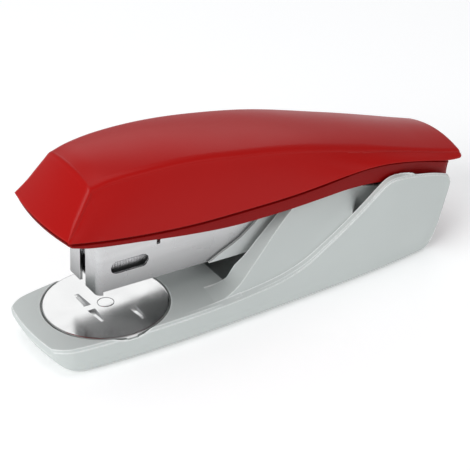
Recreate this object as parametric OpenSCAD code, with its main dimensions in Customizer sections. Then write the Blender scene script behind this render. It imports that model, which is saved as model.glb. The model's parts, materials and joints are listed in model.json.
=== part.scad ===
// Desktop half-strip stapler.
// The nose points to -X, the rear to +X, and the sole rests on Z = 0.
// Sizes are in millimetres.

/* [Base] */
// Half width of the base where it is widest
base_half_width = 19.6; // [19.5:0.1:20.2]
// Height of the flat deck that carries the anvil
deck_height = 8.8; // [8.8:0.1:9.2]
// Thickness of the wing walls
wing_wall = 2.2; // [1.8:0.1:2.2]
// Thickness of the wing walls beside the swinging tail of the handle
wing_rear_wall = 1.1; // [1:0.1:1.2]
// Thickness of the sole pad
sole_thickness = 1.6; // [1.2:0.1:1.8]

/* [Anvil] */
// Radius of the turning anvil disc
disc_radius = 18; // [17.5:0.1:18]
// Sheet thickness of the anvil disc
disc_thickness = 1.2; // [1:0.1:1.4]
// Distance from the disc centre to each pair of clinch grooves
groove_offset = 5.2; // [5:0.1:5.6]

/* [Staples] */
// Outside width of the staple crown
crown_width = 12.9; // [12.7:0.1:13]
// Height of a staple from leg tip to crown
staple_height = 6.45; // [6.3:0.05:6.5]
// Diameter of the staple wire
wire_size = 0.5; // [0.45:0.05:0.55]
// Length of the half strip
strip_length = 50; // [40:1:50]

/* [Arm] */
// Place of the main pivot along the base
pivot_x = 51.5; // [51:0.1:52]
// Height of the main pivot above the sole
pivot_z = 18.5; // [18.3:0.1:18.7]
// Half width of the steel magazine arm
arm_half_width = 8.7; // [8.6:0.05:8.7]
// Sheet thickness of the magazine arm
arm_sheet = 0.9; // [0.8:0.05:0.95]
// Upward tilt of the magazine at rest, in degrees
arm_tilt = 2.6; // [2.4:0.1:2.6]
// Travel of the press lever when a staple is driven, in degrees
press_angle = 4.2; // [4:0.1:4.2]

/* [Cover] */
// Wall of the press cover
cover_wall = 2.2; // [1.8:0.1:2.4]
// Height of the crown of the cover above its side creases
cover_crown = 1.8; // [1:0.1:2]
// Wall of the cover frame
frame_wall = 1.6; // [1.3:0.1:1.6]
// Width of the ledge that the cover's rim stands on
frame_ledge = 2.4; // [2:0.1:2.5]

/* [Hidden] */
$fn = 64;

// Colours
grey_plastic = [0.79, 0.81, 0.80];
nickel = [0.72, 0.73, 0.74];
dark_steel = [0.45, 0.46, 0.48];
red_plastic = [0.70, 0.11, 0.09];
rubber_grey = [0.35, 0.36, 0.37];

// Base levels
shell_bottom = 0.6;
deck_skin = 2.2;
channel_floor = 3;
base_front = -71;
base_rear = 64;
pit_front = -12.5;
wing_bevel = 1.1;
corner_y = 12.3;

// Anvil levels
anvil_x = -46.5;
disc_gap = 0.45;
stud_radius = 2;
stud_head_radius = 2.35;
plate_top = deck_height - deck_skin;
plate_thickness = 1.2;

// Arm levels, measured in the arm's own frame from the pivot
running_gap = 0.05;
pin_radius = 2;
arm_bottom = -4.5;
arm_top = 7.5;
tower_top = 12;
flap_bottom = arm_bottom - 1;
arm_front = -104.7;
front_inner = arm_front + arm_sheet;
arm_inner_half = arm_half_width - arm_sheet;
arm_floor = arm_bottom + arm_sheet;
blade_front = front_inner + 0.15;
blade_thickness = 0.5;
strip_front = blade_front + blade_thickness + 0.4;
strip_bottom = arm_floor + running_gap;
strip_top = strip_bottom + staple_height;
strip_rear = strip_front + strip_length;
rail_half_width = crown_width / 2 - wire_size - 0.3;
rail_top = strip_top - wire_size - 0.15;
rail_sheet = 0.8;
rail_rear = -8;
rod_w = -0.9;
rod_radius = 0.8;
sleeve_inner = arm_half_width + running_gap;
sleeve_outer = 9.6;
sleeve_deck = 1;
pusher_length = 12.5;
pusher_front = strip_rear + 0.2;
tongue_front = pusher_front + 3;
tongue_length = 3.4;

// Press lever, measured from the rear end of its top plate
lever_rear_x = 46;
lever_rear_z = 31.5;
lever_slope = 8.15;
lever_length = 97.3;
lever_sheet = 1.2;
flange_inner = 10;
flange_outer = flange_inner + lever_sheet;
flange_depth = 5;
cheek_inner = flange_outer + 0.4;
cheek_outer = 13;
cheek_front_outer = 14.2;

// ---------------------------------------------------------------- curves

function mix(a, b, t) = a + (b - a) * t;

// Slope of a curve through points at its point number i
function slope_at(points, i) =
    let (low = max(i - 1, 0), high = min(i + 1, len(points) - 1))
    (points[high][1] - points[low][1]) / (points[high][0] - points[low][0]);

// Number of the stretch of the curve that holds x
function stretch_of(points, x, i = 0) =
    i >= len(points) - 2 || x < points[i + 1][0] ? i : stretch_of(points, x, i + 1);

// Height of a smooth curve through points, whose x values rise
function curve_at(points, x) =
    let (
        i = stretch_of(points, x),
        run = points[i + 1][0] - points[i][0],
        t = min(max((x - points[i][0]) / run, 0), 1),
        a = slope_at(points, i) * run,
        b = slope_at(points, i + 1) * run,
        rise = points[i + 1][1] - points[i][1]
    )
    points[i][1] + a * t + (3 * rise - 2 * a - b) * t * t + (a + b - 2 * rise) * t * t * t;

// Points of a smooth curve from x = from to x = to
function curve_points(points, from, to, steps) =
    [for (i = [0:steps]) let (x = mix(from, to, i / steps)) [x, curve_at(points, x)]];

function reversed(points) = [for (i = [len(points) - 1:-1:0]) points[i]];

function quarter_arc(centre, radius_x, radius_z, from, to, steps) =
    [for (i = [0:steps]) let (a = mix(from, to, i / steps))
        [centre[0] + radius_x * cos(a), centre[1] + radius_z * sin(a)]];

// Half width of the base at x
function base_half(x) = base_half_width * (1 - 0.235 * pow(abs((x + 2) / 71), 3.4));

// Half width of the cover's lower rim at x
function rim_half(x) = x < 2 ? 17.6 - 1.6 * pow(abs((x - 2) / 66), 3) : 17.6 - 4.4 * pow((x - 2) / 68, 4);

// Outer and inner top edges of a wing
wing_outer_line = [[-40, 8.8], [-20, 8.9], [-6, 9.1], [0, 9.6], [5, 10.7], [10, 12.4], [16.5, 15.9], [21, 18.5],
    [29, 23.5], [35.6, 28], [38.5, 29.6], [42, 29.9], [50.7, 28.1], [57, 26.2], [61.9, 24.2]];
wing_inner_line = [[-40, 8.8], [-20, 9], [-8, 9.9], [0, 11.2], [6, 12.6], [12, 14.8], [18, 17.9], [25, 22.3],
    [31.5, 26.4], [35, 28.6], [38, 30.6], [42.3, 30.9], [51.6, 28.8], [60.4, 25.6], [61.6, 24.6]];

// Cover lines: side crease height and half width, rim height, frame edge height
crease_line = [[-55, 54.2], [-50, 55.3], [-41, 55.7], [-27, 55], [-11, 52.6], [9.5, 48.3],
    [31, 41.9], [54, 34.3], [69.5, 28.9]];
crease_half_line = [[-55, 12.3], [-41, 13.7], [-27, 14.2], [-11, 14.7], [9.5, 14.6], [31, 14],
    [54, 13.2], [69.5, 12.4]];
rim_line = [[-64.3, 42.3], [-53, 40.2], [-40, 38.4], [-27, 37.1], [-14, 36.5], [6, 36], [27, 36.6],
    [36, 36.1], [44.4, 34.5], [55, 31.4], [64, 28.2], [69.5, 27]];
frame_edge_line = [[-64.3, 40.6], [-58, 38.7], [-42.4, 36.1], [-28.6, 33.8], [-14, 32], [4, 31.3],
    [21.6, 31.3], [30, 30.7], [36, 29.8], [44, 27.6], [50, 26], [56.5, 24], [61, 22.6], [64, 22]];

// ---------------------------------------------------------------- placing

// Puts a shape drawn in the magazine arm's frame at its place at rest
module on_arm() {
    translate([pivot_x, 0, pivot_z]) rotate([0, arm_tilt, 0]) children();
}

// Puts a shape drawn in the arm's frame with the lever fully pressed at its place at rest
module on_pressed_lever() {
    translate([pivot_x, 0, pivot_z]) rotate([0, arm_tilt + press_angle, 0]) children();
}

// Puts a shape drawn on the lever's top plate at its place
module on_lever() {
    translate([lever_rear_x, 0, lever_rear_z]) rotate([0, lever_slope, 0]) children();
}

// Extrudes an outline in X and Z sideways from y = from to y = to
module side_plate(from, to) {
    translate([0, to, 0]) rotate([90, 0, 0]) linear_extrude(to - from) children();
}

// The same side plate on both sides of the middle plane
module both_sides(inner, outer) {
    side_plate(inner, outer) children();
    side_plate(-outer, -inner) children();
}

// A block given by its low and high corners
module block(low, high) {
    translate(low) cube(high - low);
}

// A cylinder along Y, centred on the middle plane
module cross_rod(radius, half_length) {
    translate([0, half_length, 0]) rotate([90, 0, 0]) cylinder(r = radius, h = 2 * half_length);
}

// A cylinder along X from x = from to x = to
module long_rod(radius, from, to) {
    translate([from, 0, 0]) rotate([0, 90, 0]) cylinder(r = radius, h = to - from);
}

// An upright helical wire of the given mean radius between two heights
module coil(mean_radius, wire_radius, height, turns, turn_steps, sides) {
    steps = turns * turn_steps;
    function ring(k) =
        let (a = 360 * k / turn_steps, z = height * k / steps)
        [for (s = [0:sides - 1]) let (b = 360 * s / sides, r = mean_radius + wire_radius * cos(b))
            [r * cos(a), r * sin(a), z + wire_radius * sin(b)]];
    points = [for (k = [0:steps]) each ring(k)];
    walls = [for (k = [0:steps - 1], s = [0:sides - 1])
        let (a = k * sides + s, b = k * sides + (s + 1) % sides)
        each [[a, b + sides, a + sides], [a, b, b + sides]]];
    first_cap = [for (s = [sides - 1:-1:0]) s];
    last_cap = [for (s = [0:sides - 1]) steps * sides + s];
    polyhedron(points, concat(walls, [first_cap, last_cap]), convexity = 10);
}

// ---------------------------------------------------------------- base

// Outline of the base seen from above, drawn in by inset
function base_outline(inset, front, rear) =
    let (side = [for (i = [0:20]) let (x = mix(front, rear, i / 20)) [x, base_half(x) - inset]])
    concat(side, reversed([for (p = side) [p[0], -p[1]]]));

// Outline of the space between the wings, wider at the rear where the handle's tail swings
function channel_outline(front, rear) =
    let (side = [for (i = [0:24]) let (x = mix(front, rear, i / 24), thin = min(max((x - 43) / 7, 0), 1))
        [x, base_half(x) - mix(wing_wall, wing_rear_wall, thin)]])
    concat(side, reversed([for (p = side) [p[0], -p[1]]]));

// Outer outline with its bowed front edge and eased front corners
module base_plan() {
    front = [for (i = [0:6]) let (y = corner_y * i / 6) [base_front + 1.1 * pow(y / corner_y, 2), y]];
    corner = [[-69, 14.3], [-67.4, 15.6]];
    side = [for (i = [0:22]) let (x = mix(-65, base_rear, i / 22)) [x, base_half(x)]];
    half = concat(front, corner, side);
    polygon(concat(half, reversed([for (p = half) if (p[1] > 0) [p[0], -p[1]]])));
}

// Side profile of the base, with the given wing top line
module base_profile(top_line, top_rear) {
    chin = quarter_arc([-62, 7.6], 8.6, 7, 180, 270, 8);
    heel = quarter_arc([54.2, 6.6], 5.4, 6, 270, 335, 5);
    corner = quarter_arc([61.2, 21.4], 2.8, 2.8, -12, 72, 6);
    top = curve_points(top_line, top_rear, -40, 30);
    polygon(concat([[base_front, deck_height], [base_front, 8]], chin, heel,
        [[60.8, 8], [62.9, 14.4]], corner, top));
}

module base_shell() {
    color(grey_plastic) difference() {
        intersection() {
            translate([0, 0, shell_bottom]) linear_extrude(32) base_plan();
            union() {
                side_plate(-22, 22) base_profile(wing_outer_line, 61.9);
                side_plate(-22, 22) intersection() {
                    base_profile(wing_inner_line, 61.6);
                    translate([-10, 0]) square([72, 34]);
                }
            }
        }
        // The outer part of each wing stops at the lower edge line
        difference() {
            block([-10, -22, 10], [62, 22, 33]);
            translate([0, 0, 5]) linear_extrude(30) polygon(base_outline(wing_bevel, -12, 64));
            side_plate(-23, 23) base_profile(wing_outer_line, 61.9);
        }
        // Space between the wings
        translate([0, 0, deck_height]) linear_extrude(32) polygon(channel_outline(-68, 66));
        // Well behind the deck
        translate([0, 0, channel_floor]) linear_extrude(20) polygon(channel_outline(pit_front, 66));
        // Recess and bore for the anvil
        translate([anvil_x, 0, deck_height - disc_thickness - 0.1]) cylinder(r = disc_radius + disc_gap, h = 5);
        translate([anvil_x, 0, 0]) cylinder(r = stud_radius + running_gap, h = 12);
        // Hollow under the deck, the pocket that holds the plate's front end, and the seat of the sole
        translate([0, 0, sole_thickness]) linear_extrude(plate_top - sole_thickness)
            polygon(base_outline(2.6, -60, pit_front - 2));
        block([-67.4, -11, plate_top - plate_thickness - 0.1], [-59, 11, plate_top]);
        translate([0, 0, -1]) linear_extrude(sole_thickness + 1) sole_plan(0.1);
        // Screw holes
        for (p = plate_screw_places) translate([p[0], p[1], 4]) cylinder(r = 1.1, h = 4);
        for (p = cheek_screw_places) translate([p[0], p[1], 0]) cylinder(r = 1.5, h = 6);
    }
    // Post that centres the return spring
    color(grey_plastic) translate([spring_x, 0, channel_floor - 0.5]) cylinder(r = 3.1, h = 3);
}

spring_x = 14;
plate_screw_places = [[-24, 8], [-24, -8]];
cheek_screw_places = [[30, 0], [42, 7], [42, -7]];

module sole_plan(grow) {
    polygon(base_outline(2.9 - grow, -60 - grow, 54 + grow));
}

module base_plate() {
    color(dark_steel) difference() {
        block([-66.9, -10, plate_top - plate_thickness], [-20, 10, plate_top]);
        translate([anvil_x, 0, 0]) cylinder(r = stud_radius + running_gap, h = 12);
        for (p = plate_screw_places) translate([p[0], p[1], 3]) cylinder(r = 1.1, h = 6);
    }
}

module plate_screws() {
    color(nickel) for (p = plate_screw_places) translate([p[0], p[1], 0]) {
        translate([0, 0, plate_top - plate_thickness - 1]) cylinder(r = 2, h = 1);
        translate([0, 0, plate_top - plate_thickness]) cylinder(r = 1.1, h = 2.6);
    }
}

module sole_pad() {
    color(rubber_grey) linear_extrude(sole_thickness) sole_plan(0);
}

// Side outline of a hinge cheek
module cheek_profile() {
    front = [[-12.4, channel_floor], [-12, 6.9], [-9, 9.6], [-6, 13.2], [-3.3, 16.1], [1.1, 21], [4.4, 25.9],
        [7, 29.2]];
    top = [[10, 29.6], [18, 29.8], [28, 29.4], [36, 27.4], [43, 25], [51.5, 24.2], [56, 22.4]];
    polygon(concat(front, top, [[57.6, 18.5], [57, 12], [54, channel_floor]]));
}

module hinge_cheeks() {
    color(grey_plastic) difference() {
        union() {
            both_sides(cheek_inner, cheek_outer) cheek_profile();
            both_sides(cheek_outer - 0.5, cheek_front_outer) intersection() {
                cheek_profile();
                translate([-20, 0]) square([46, 40]);
            }
            block([22, -cheek_outer + 0.5, channel_floor], [52, cheek_outer - 0.5, channel_floor + 1.2]);
        }
        translate([pivot_x, 0, pivot_z]) cross_rod(pin_radius + running_gap, 20);
        for (p = cheek_screw_places) translate([p[0], p[1], 0]) cylinder(r = 1.5, h = 6);
    }
}

module cheek_screws() {
    color(nickel) for (p = cheek_screw_places) translate([p[0], p[1], 0]) {
        translate([0, 0, channel_floor + 1.2]) cylinder(r = 2.7, h = 1.5);
        translate([0, 0, sole_thickness + 0.1]) cylinder(r = 1.5, h = channel_floor + 1.2 - sole_thickness - 0.1);
    }
}

module pivot_pin() {
    color(nickel) translate([pivot_x, 0, pivot_z]) cross_rod(pin_radius, 14);
}

module pin_rings() {
    color(dark_steel) translate([pivot_x, 0, pivot_z]) difference() {
        cross_rod(3.2, 13.7);
        cross_rod(pin_radius, 20);
        cross_rod(5, 13.1);
    }
}

module return_spring() {
    spring_top = pivot_z + arm_bottom + (pivot_x - spring_x) * sin(arm_tilt) - 0.1;
    wire = 0.45;
    color(nickel) translate([spring_x, 0, channel_floor + wire])
        coil(4.1, wire, spring_top - channel_floor - 2 * wire, 6, 18, 6);
}

// ---------------------------------------------------------------- anvil

// Two shallow clinch pockets in line across the disc
module clinch_grooves(offset, inner, outer) {
    for (side = [-1, 1]) translate([offset, side * (inner + outer) / 2, disc_thickness - 0.5])
        block([-0.9, -(outer - inner) / 2, 0], [0.9, (outer - inner) / 2, 2]);
}

module anvil_disc() {
    color(nickel) translate([anvil_x, 0, deck_height - disc_thickness]) difference() {
        cylinder(r = disc_radius, h = disc_thickness);
        translate([0, 0, -1]) cylinder(r = stud_head_radius, h = 4);
        clinch_grooves(-groove_offset, 1.1, 8);
        clinch_grooves(groove_offset, 5.7, 14.2);
    }
}

module anvil_stud() {
    color(nickel) translate([anvil_x, 0, 0]) {
        translate([0, 0, deck_height - disc_thickness]) cylinder(r = stud_head_radius, h = disc_thickness);
        translate([0, 0, 3.4]) cylinder(r = stud_radius, h = deck_height - disc_thickness - 3.4);
    }
}

module anvil_spring() {
    color(dark_steel) translate([anvil_x, 0, 4.4]) difference() {
        cylinder(r = 4.8, h = 0.9);
        translate([0, 0, -1]) cylinder(r = stud_radius + running_gap, h = 4);
        translate([0, 0, 0.35]) cylinder(r = 3.9, h = 4);
    }
}

module anvil_ring() {
    color(dark_steel) translate([anvil_x, 0, 3.6]) difference() {
        cylinder(r = 3.6, h = 0.75);
        translate([0, 0, -1]) cylinder(r = stud_radius, h = 4);
    }
}

// ---------------------------------------------------------------- magazine

// Plan of a channel with rounded front corners
module channel_plan(front, rear, half, corner) {
    translate([front + corner, -half]) square([rear - front - corner, 2 * half]);
    translate([front, -half + corner]) square([2 * corner, 2 * (half - corner)]);
    for (side = [-1, 1]) translate([front + corner, side * (half - corner)]) circle(r = corner);
}

// Side outline of the arm's walls
module arm_profile() {
    polygon([[arm_front - 1, flap_bottom], [front_inner + 0.9, flap_bottom], [front_inner + 0.9, arm_bottom],
        [0, arm_bottom], [5.5, arm_bottom + 2.5], [6.5, 1.5], [5, 5.8], [0, arm_top], [-85, arm_top],
        [-85, 6], [-86.2, 6], [-86.2, tower_top], [arm_front - 1, tower_top]]);
}

module staple_window() {
    for (u = [-98.6, -90.6]) translate([u, 0, 2.2]) cross_rod(1.95, 12);
    block([-98.6, -12, 0.25], [-90.6, 12, 4.15]);
}

module arm_rivet_holes() {
    for (u = [-40, -14]) translate([u, 0, -0.5]) cross_rod(1.5, 12);
}

module magazine_arm() {
    color(nickel) on_arm() difference() {
        intersection() {
            translate([0, 0, -10]) linear_extrude(30) channel_plan(arm_front, 8, arm_half_width, 1.8);
            side_plate(-10, 10) arm_profile();
        }
        // Inside of the channel, with the slot the driven staple leaves by
        translate([0, 0, arm_floor]) linear_extrude(20) channel_plan(front_inner, 9, arm_inner_half, 0.9);
        block([front_inner, -crown_width / 2 - 0.3, -8], [strip_front, crown_width / 2 + 0.3, 0]);
        block([-8, -arm_inner_half, -8], [9, arm_inner_half, 0]);
        // Gap between the two front flaps
        block([arm_front - 1, -1.6, -8], [front_inner + 0.1, 1.6, 14]);
        staple_window();
        arm_rivet_holes();
        cross_rod(pin_radius + running_gap, 12);
    }
    // Lips that stiffen the open top edges
    color(nickel) on_arm() for (side = [-1, 1])
        translate([-84, side * (arm_inner_half - 0.4) - 0.6, arm_top - arm_sheet]) cube([78, 1.2, arm_sheet]);
}

// Side outline of the plastic sleeve, with its sickle-shaped front edge
module sleeve_profile() {
    edge = [[-69.4, arm_bottom], [-64.6, -2], [-61.6, -0.6], [-58.7, 1], [-56.3, 2.9], [-54.7, 4.1],
        [-52.6, 6.2], [-51, arm_top + sleeve_deck]];
    rear = [[0, arm_top + sleeve_deck], [5.4, 6.6], [7.4, 1.5], [6.2, arm_bottom + 2.4], [0.5, arm_bottom]];
    polygon(concat(edge, rear));
}

module magazine_sleeve() {
    color(grey_plastic) on_arm() difference() {
        union() {
            both_sides(sleeve_inner, sleeve_outer) sleeve_profile();
            block([-51, -sleeve_outer, arm_top + running_gap], [-1, sleeve_outer, arm_top + sleeve_deck]);
        }
        arm_rivet_holes();
        cross_rod(pin_radius + running_gap, 12);
    }
}

module arm_rivets() {
    color(dark_steel) on_arm() for (u = [-40, -14]) translate([u, 0, -0.5]) difference() {
        cross_rod(1.5, sleeve_outer);
        cross_rod(3, arm_inner_half);
    }
}

module staple_rail() {
    color(dark_steel) on_arm() difference() {
        block([strip_front, -rail_half_width, strip_bottom], [rail_rear, rail_half_width, rail_top]);
        // Hollow, left closed by a web at each end of the guide rod
        for (span = [[strip_front - 1, -62], [-61, rail_rear - 1]])
            block([span[0], -rail_half_width + rail_sheet, strip_bottom - 1],
                [span[1], rail_half_width - rail_sheet, rail_top - rail_sheet]);
        block([tongue_front - 2, -1.6, rail_top - 2], [-13, 1.6, rail_top + 1]);
        translate([0, 0, rod_w]) long_rod(rod_radius + running_gap, -64, -6);
    }
}

module guide_rod() {
    color(nickel) on_arm() translate([0, 0, rod_w]) long_rod(rod_radius, -62.4, -6.4);
}

module rod_nut() {
    color(dark_steel) on_arm() translate([rail_rear + 0.05, 0, rod_w]) rotate([0, 90, 0]) difference() {
        cylinder(r = 1.9, h = 1.3, $fn = 6);
        translate([0, 0, -1]) cylinder(r = rod_radius, h = 4);
    }
}

module staple_strip() {
    color(nickel) on_arm() difference() {
        block([strip_front, -crown_width / 2, strip_bottom], [strip_rear, crown_width / 2, strip_top]);
        block([strip_front - 1, -crown_width / 2 + wire_size, strip_bottom - 1],
            [strip_rear + 1, crown_width / 2 - wire_size, strip_top - wire_size]);
    }
}

module pusher() {
    rear = pusher_front + pusher_length;
    color(rubber_grey) on_arm() difference() {
        union() {
            block([pusher_front, -7.3, rail_top + 0.15], [rear, 7.3, 6]);
            for (side = [-1, 1]) translate([pusher_front, side * 6.5 - 0.75, strip_bottom])
                cube([pusher_length, 1.5, rail_top + 1 - strip_bottom]);
            block([tongue_front, -1.3, rod_w - 1.7], [tongue_front + tongue_length, 1.3, rail_top + 0.5]);
        }
        translate([0, 0, rod_w]) long_rod(rod_radius + running_gap, pusher_front, rear);
    }
}

module pusher_spring() {
    wire = 0.2;
    front = tongue_front + tongue_length + 0.1;
    color(nickel) on_arm() translate([front + wire, 0, rod_w]) rotate([0, 90, 0])
        coil(1.35, wire, rail_rear - 1.1 - front - 2 * wire, 20, 12, 4);
}

// ---------------------------------------------------------------- handle

// Forward bow of a cross section at x, largest at the nose and rearward at the tail
function bow_at(x) = curve_at([[-64.3, -1.8], [-55, -0.9], [-44, 0], [56, 0], [69.5, 1.5]], x);

// Half of a cover section from the rim up to the middle, drawn in by wall
function cover_half(x, wall) =
    let (
        on_facet = x < -55,
        t = on_facet ? (x + 64.3) / 9.3 : 1,
        crease_y = (on_facet ? mix(15.6, 12.3, t) : curve_at(crease_half_line, x)) - wall,
        crease_z = (on_facet ? mix(42.6, 54.2, t) : curve_at(crease_line, x)) - wall,
        rim_y = rim_half(x) - wall,
        rim_z = curve_at(rim_line, x),
        crown = cover_crown * t,
        top_y = crease_y - 2.2,
        side_z = max(crease_z - 1.6, rim_z + 0.02),
        round_z = max(crease_z - 0.4, rim_z + 0.03),
        flat_z = max(crease_z, rim_z + 0.04)
    )
    concat(
        [for (s = [0:3]) let (q = s / 4)
            [mix(rim_y, crease_y, q) + 1.6 * t * q * (1 - q), mix(rim_z, side_z, q)]],
        [[crease_y, side_z], [crease_y - 0.7, round_z], [top_y, flat_z + crown * (1 - pow(top_y / crease_y, 2))]],
        [for (s = [3:-1:0]) let (y = top_y * s / 4) [y, flat_z + crown * (1 - pow(y / crease_y, 2))]]
    );

// Closed section of the cover at station x: over the outside, back along the inside
function cover_section(x) =
    let (
        inside_x = min(max(x, -61.4), 67.2),
        outer = cover_half(x, 0),
        inner = cover_half(inside_x, cover_wall),
        arch = function (half, at) concat(
            [for (p = half) [at + bow_at(at) * (1 - pow(p[0] / 17.6, 2)), -p[0], p[1]]],
            [for (i = [len(half) - 2:-1:0]) let (p = half[i])
                [at + bow_at(at) * (1 - pow(p[0] / 17.6, 2)), p[0], p[1]]])
    )
    concat(arch(outer, x), reversed(arch(inner, inside_x)));

// Shell through a row of closed sections whose two ends are joined wall to wall
module section_shell(sections) {
    m = len(sections[0]);
    half = m / 2;
    last = (len(sections) - 1) * m;
    walls = [for (i = [0:len(sections) - 2], j = [0:m - 1])
        let (a = i * m + j, b = i * m + (j + 1) % m)
        each [[a, b, b + m], [a, b + m, a + m]]];
    front = [for (j = [0:half - 2]) each [[j, m - 1 - j, m - 2 - j], [j, m - 2 - j, j + 1]]];
    rear = [for (f = front) [f[2] + last, f[1] + last, f[0] + last]];
    polyhedron([for (s = sections) each s], concat(walls, front, rear), convexity = 6);
}

module cover() {
    stations = concat([-64.3, -62.4, -59.6, -57.2, -55], [for (i = [1:26]) mix(-55, 67, i / 26)], [68.4, 69.5]);
    color(red_plastic) difference() {
        union() {
            section_shell([for (x = stations) cover_section(x)]);
            for (p = cover_screw_places) on_lever() translate([p[0], 0, 0.05]) cylinder(r = 3.2, h = p[1]);
        }
        for (p = cover_screw_places) on_lever() translate([p[0], 0, 0]) cylinder(r = 1.35, h = 5.5);
    }
}

// Half width of the cover frame at x: inside the cover's rim, and inside the wings at the rear
function frame_half(x) =
    rim_half(x) - curve_at([[-64.3, 0.5], [15, 0.5], [30, 1.1], [44, 1.4], [52, 1.7], [64, 1.2]], x);

// The frame's route seen from above: along one side, from the tail to the nose
function frame_route() = [for (i = [0:34]) let (x = mix(63.4, -63.4, i / 34)) [x, frame_half(x)]];

// Section of the frame at a point of its route, with its inward direction and the lean of its lower edge
function frame_section(x, y, inward, lean = 0) =
    let (
        low = curve_at(frame_edge_line, x),
        rim = curve_at(rim_line, x) - 0.1,
        place = function (depth, z) [x + inward[0] * depth, y + inward[1] * depth, z]
    )
    [place(lean, low), place(0, rim), place(frame_ledge, rim), place(frame_ledge, rim - 0.8),
        place(frame_wall, rim - 1.4), place(frame_wall + lean, low)];

// The frame is a closed ring: along the near side to the nose, across it, back, and round the tail
module cover_frame() {
    side = frame_route();
    near = [for (p = side) frame_section(p[0], -p[1], [0, 1])];
    nose = [for (y = [-13.5, -9, -4.5, 0, 4.5, 9, 13.5])
        frame_section(-65.5 + 1.6 * pow(y / 15.5, 2), y, [1, 0])];
    far = [for (p = reversed(side)) frame_section(p[0], p[1], [0, -1])];
    tail = [for (y = [10.6, 5.5, 0, -5.5, -10.6])
        frame_section(66.9 - 1.4 * pow(y / 13, 2), y, [-1, 0], 2.5)];
    corner = function (side) frame_section(65.5, side * 12.7, [-0.7, -0.7 * side], 1.8);
    rings = concat(near, nose, far, [corner(1)], tail, [corner(-1)]);
    m = len(rings[0]);
    n = len(rings);
    walls = [for (i = [0:n - 1], j = [0:m - 1])
        let (next = (i + 1) % n, a = i * m + j, b = i * m + (j + 1) % m, c = next * m + (j + 1) % m, d = next * m + j)
        each [[a, c, b], [a, d, c]]];
    color(red_plastic) polyhedron([for (r = rings) each r], walls, convexity = 8);
}

// Side outline of one lever flange, down to the ear round the pivot
module flange_profile() {
    rise = tan(lever_slope);
    front_x = lever_rear_x - lever_length + 1.2;
    front_z = lever_rear_z + (lever_rear_x - front_x) * rise;
    polygon([[front_x, front_z], [front_x + 1, front_z - flange_depth], [34, lever_rear_z + 12 * rise - flange_depth],
        [pivot_x - 4.4, pivot_z - 2.4], [pivot_x + 4.6, pivot_z + 2], [lever_rear_x + 1.5, lever_rear_z - 1],
        [lever_rear_x, lever_rear_z]]);
    translate([pivot_x, pivot_z]) circle(r = 5);
}

leaf_rivet_places = [-15, -20];
// Place of each cover screw along the lever, with the height of the boss it holds
cover_screw_places = [[-77, 13.2], [-6.6, 7.2]];
blade_rivet_places = [-4, 4];

module press_lever() {
    color(nickel) difference() {
        union() {
            both_sides(flange_inner, flange_outer) flange_profile();
            on_lever() block([-lever_length, -flange_outer, -lever_sheet], [0, flange_outer, 0]);
            on_pressed_lever() block([blade_front + blade_thickness + 0.03, -6.4, 9.5],
                [blade_front + blade_thickness + 1.2, 6.4, 14]);
        }
        translate([pivot_x, 0, pivot_z]) cross_rod(pin_radius + running_gap, 12);
        on_lever() for (p = leaf_rivet_places) translate([p, 0, -3]) cylinder(r = 1.3, h = 6);
        on_lever() for (p = cover_screw_places) translate([p[0], 0, -3]) cylinder(r = 1.4, h = 6);
        on_pressed_lever() for (y = blade_rivet_places) translate([0, y, 11.3]) long_rod(1.1, -105, -100);
    }
}

module driver_blade() {
    color(nickel) on_pressed_lever() difference() {
        block([blade_front, -6.35, arm_bottom + 0.1], [blade_front + blade_thickness, 6.35, 13]);
        for (y = blade_rivet_places) translate([0, y, 11.3]) long_rod(1.1, -105, -100);
    }
}

module blade_rivets() {
    head = blade_front + blade_thickness + 1.22;
    color(dark_steel) on_pressed_lever() for (y = blade_rivet_places) translate([0, y, 11.3]) {
        long_rod(1.1, blade_front, head);
        long_rod(1.9, head, head + 0.7);
    }
}

module leaf_spring() {
    // Middle line from the free end to the riveted end
    line = [[-43.5, -7.1], [-41, -7.55], [-36, -5.9], [-30, -2.9], [-25, -1.52], [-22, -1.48], [-12, -1.48]];
    thickness = 0.5;
    upper = curve_points(line, -43.5, -12, 28);
    color(dark_steel) on_lever() difference() {
        side_plate(-4, 4) polygon(concat([for (p = upper) [p[0], p[1] + thickness / 2]],
            reversed([for (p = upper) [p[0], p[1] - thickness / 2]])));
        for (p = leaf_rivet_places) translate([p, 0, -4]) cylinder(r = 1.3, h = 6);
    }
}

module leaf_rivets() {
    color(nickel) on_lever() for (p = leaf_rivet_places) translate([p, 0, 0]) {
        translate([0, 0, -2.4]) cylinder(r = 2.1, h = 0.65);
        translate([0, 0, -1.8]) cylinder(r = 1.3, h = 1.8);
    }
}

module cover_screws() {
    color(nickel) on_lever() for (p = cover_screw_places) translate([p[0], 0, 0]) {
        translate([0, 0, -lever_sheet - 1.6]) cylinder(r = 2.6, h = 1.55);
        translate([0, 0, -lever_sheet - 0.1]) cylinder(r = 1.35, h = 5.4);
    }
}

base_shell();
base_plate();
plate_screws();
sole_pad();
hinge_cheeks();
cheek_screws();
pivot_pin();
pin_rings();
return_spring();
anvil_disc();
anvil_stud();
anvil_spring();
anvil_ring();
magazine_arm();
magazine_sleeve();
arm_rivets();
staple_rail();
guide_rod();
rod_nut();
staple_strip();
pusher();
pusher_spring();
cover();
cover_frame();
press_lever();
driver_blade();
blade_rivets();
leaf_spring();
leaf_rivets();
cover_screws();
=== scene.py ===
"""Desktop half-strip stapler: every visible piece, its finish, the studio and the camera."""

import json
import logging
import math
from collections.abc import Callable, Sequence
from dataclasses import dataclass
from enum import Enum

import bmesh
import bpy
from mathutils import Matrix, Vector


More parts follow.
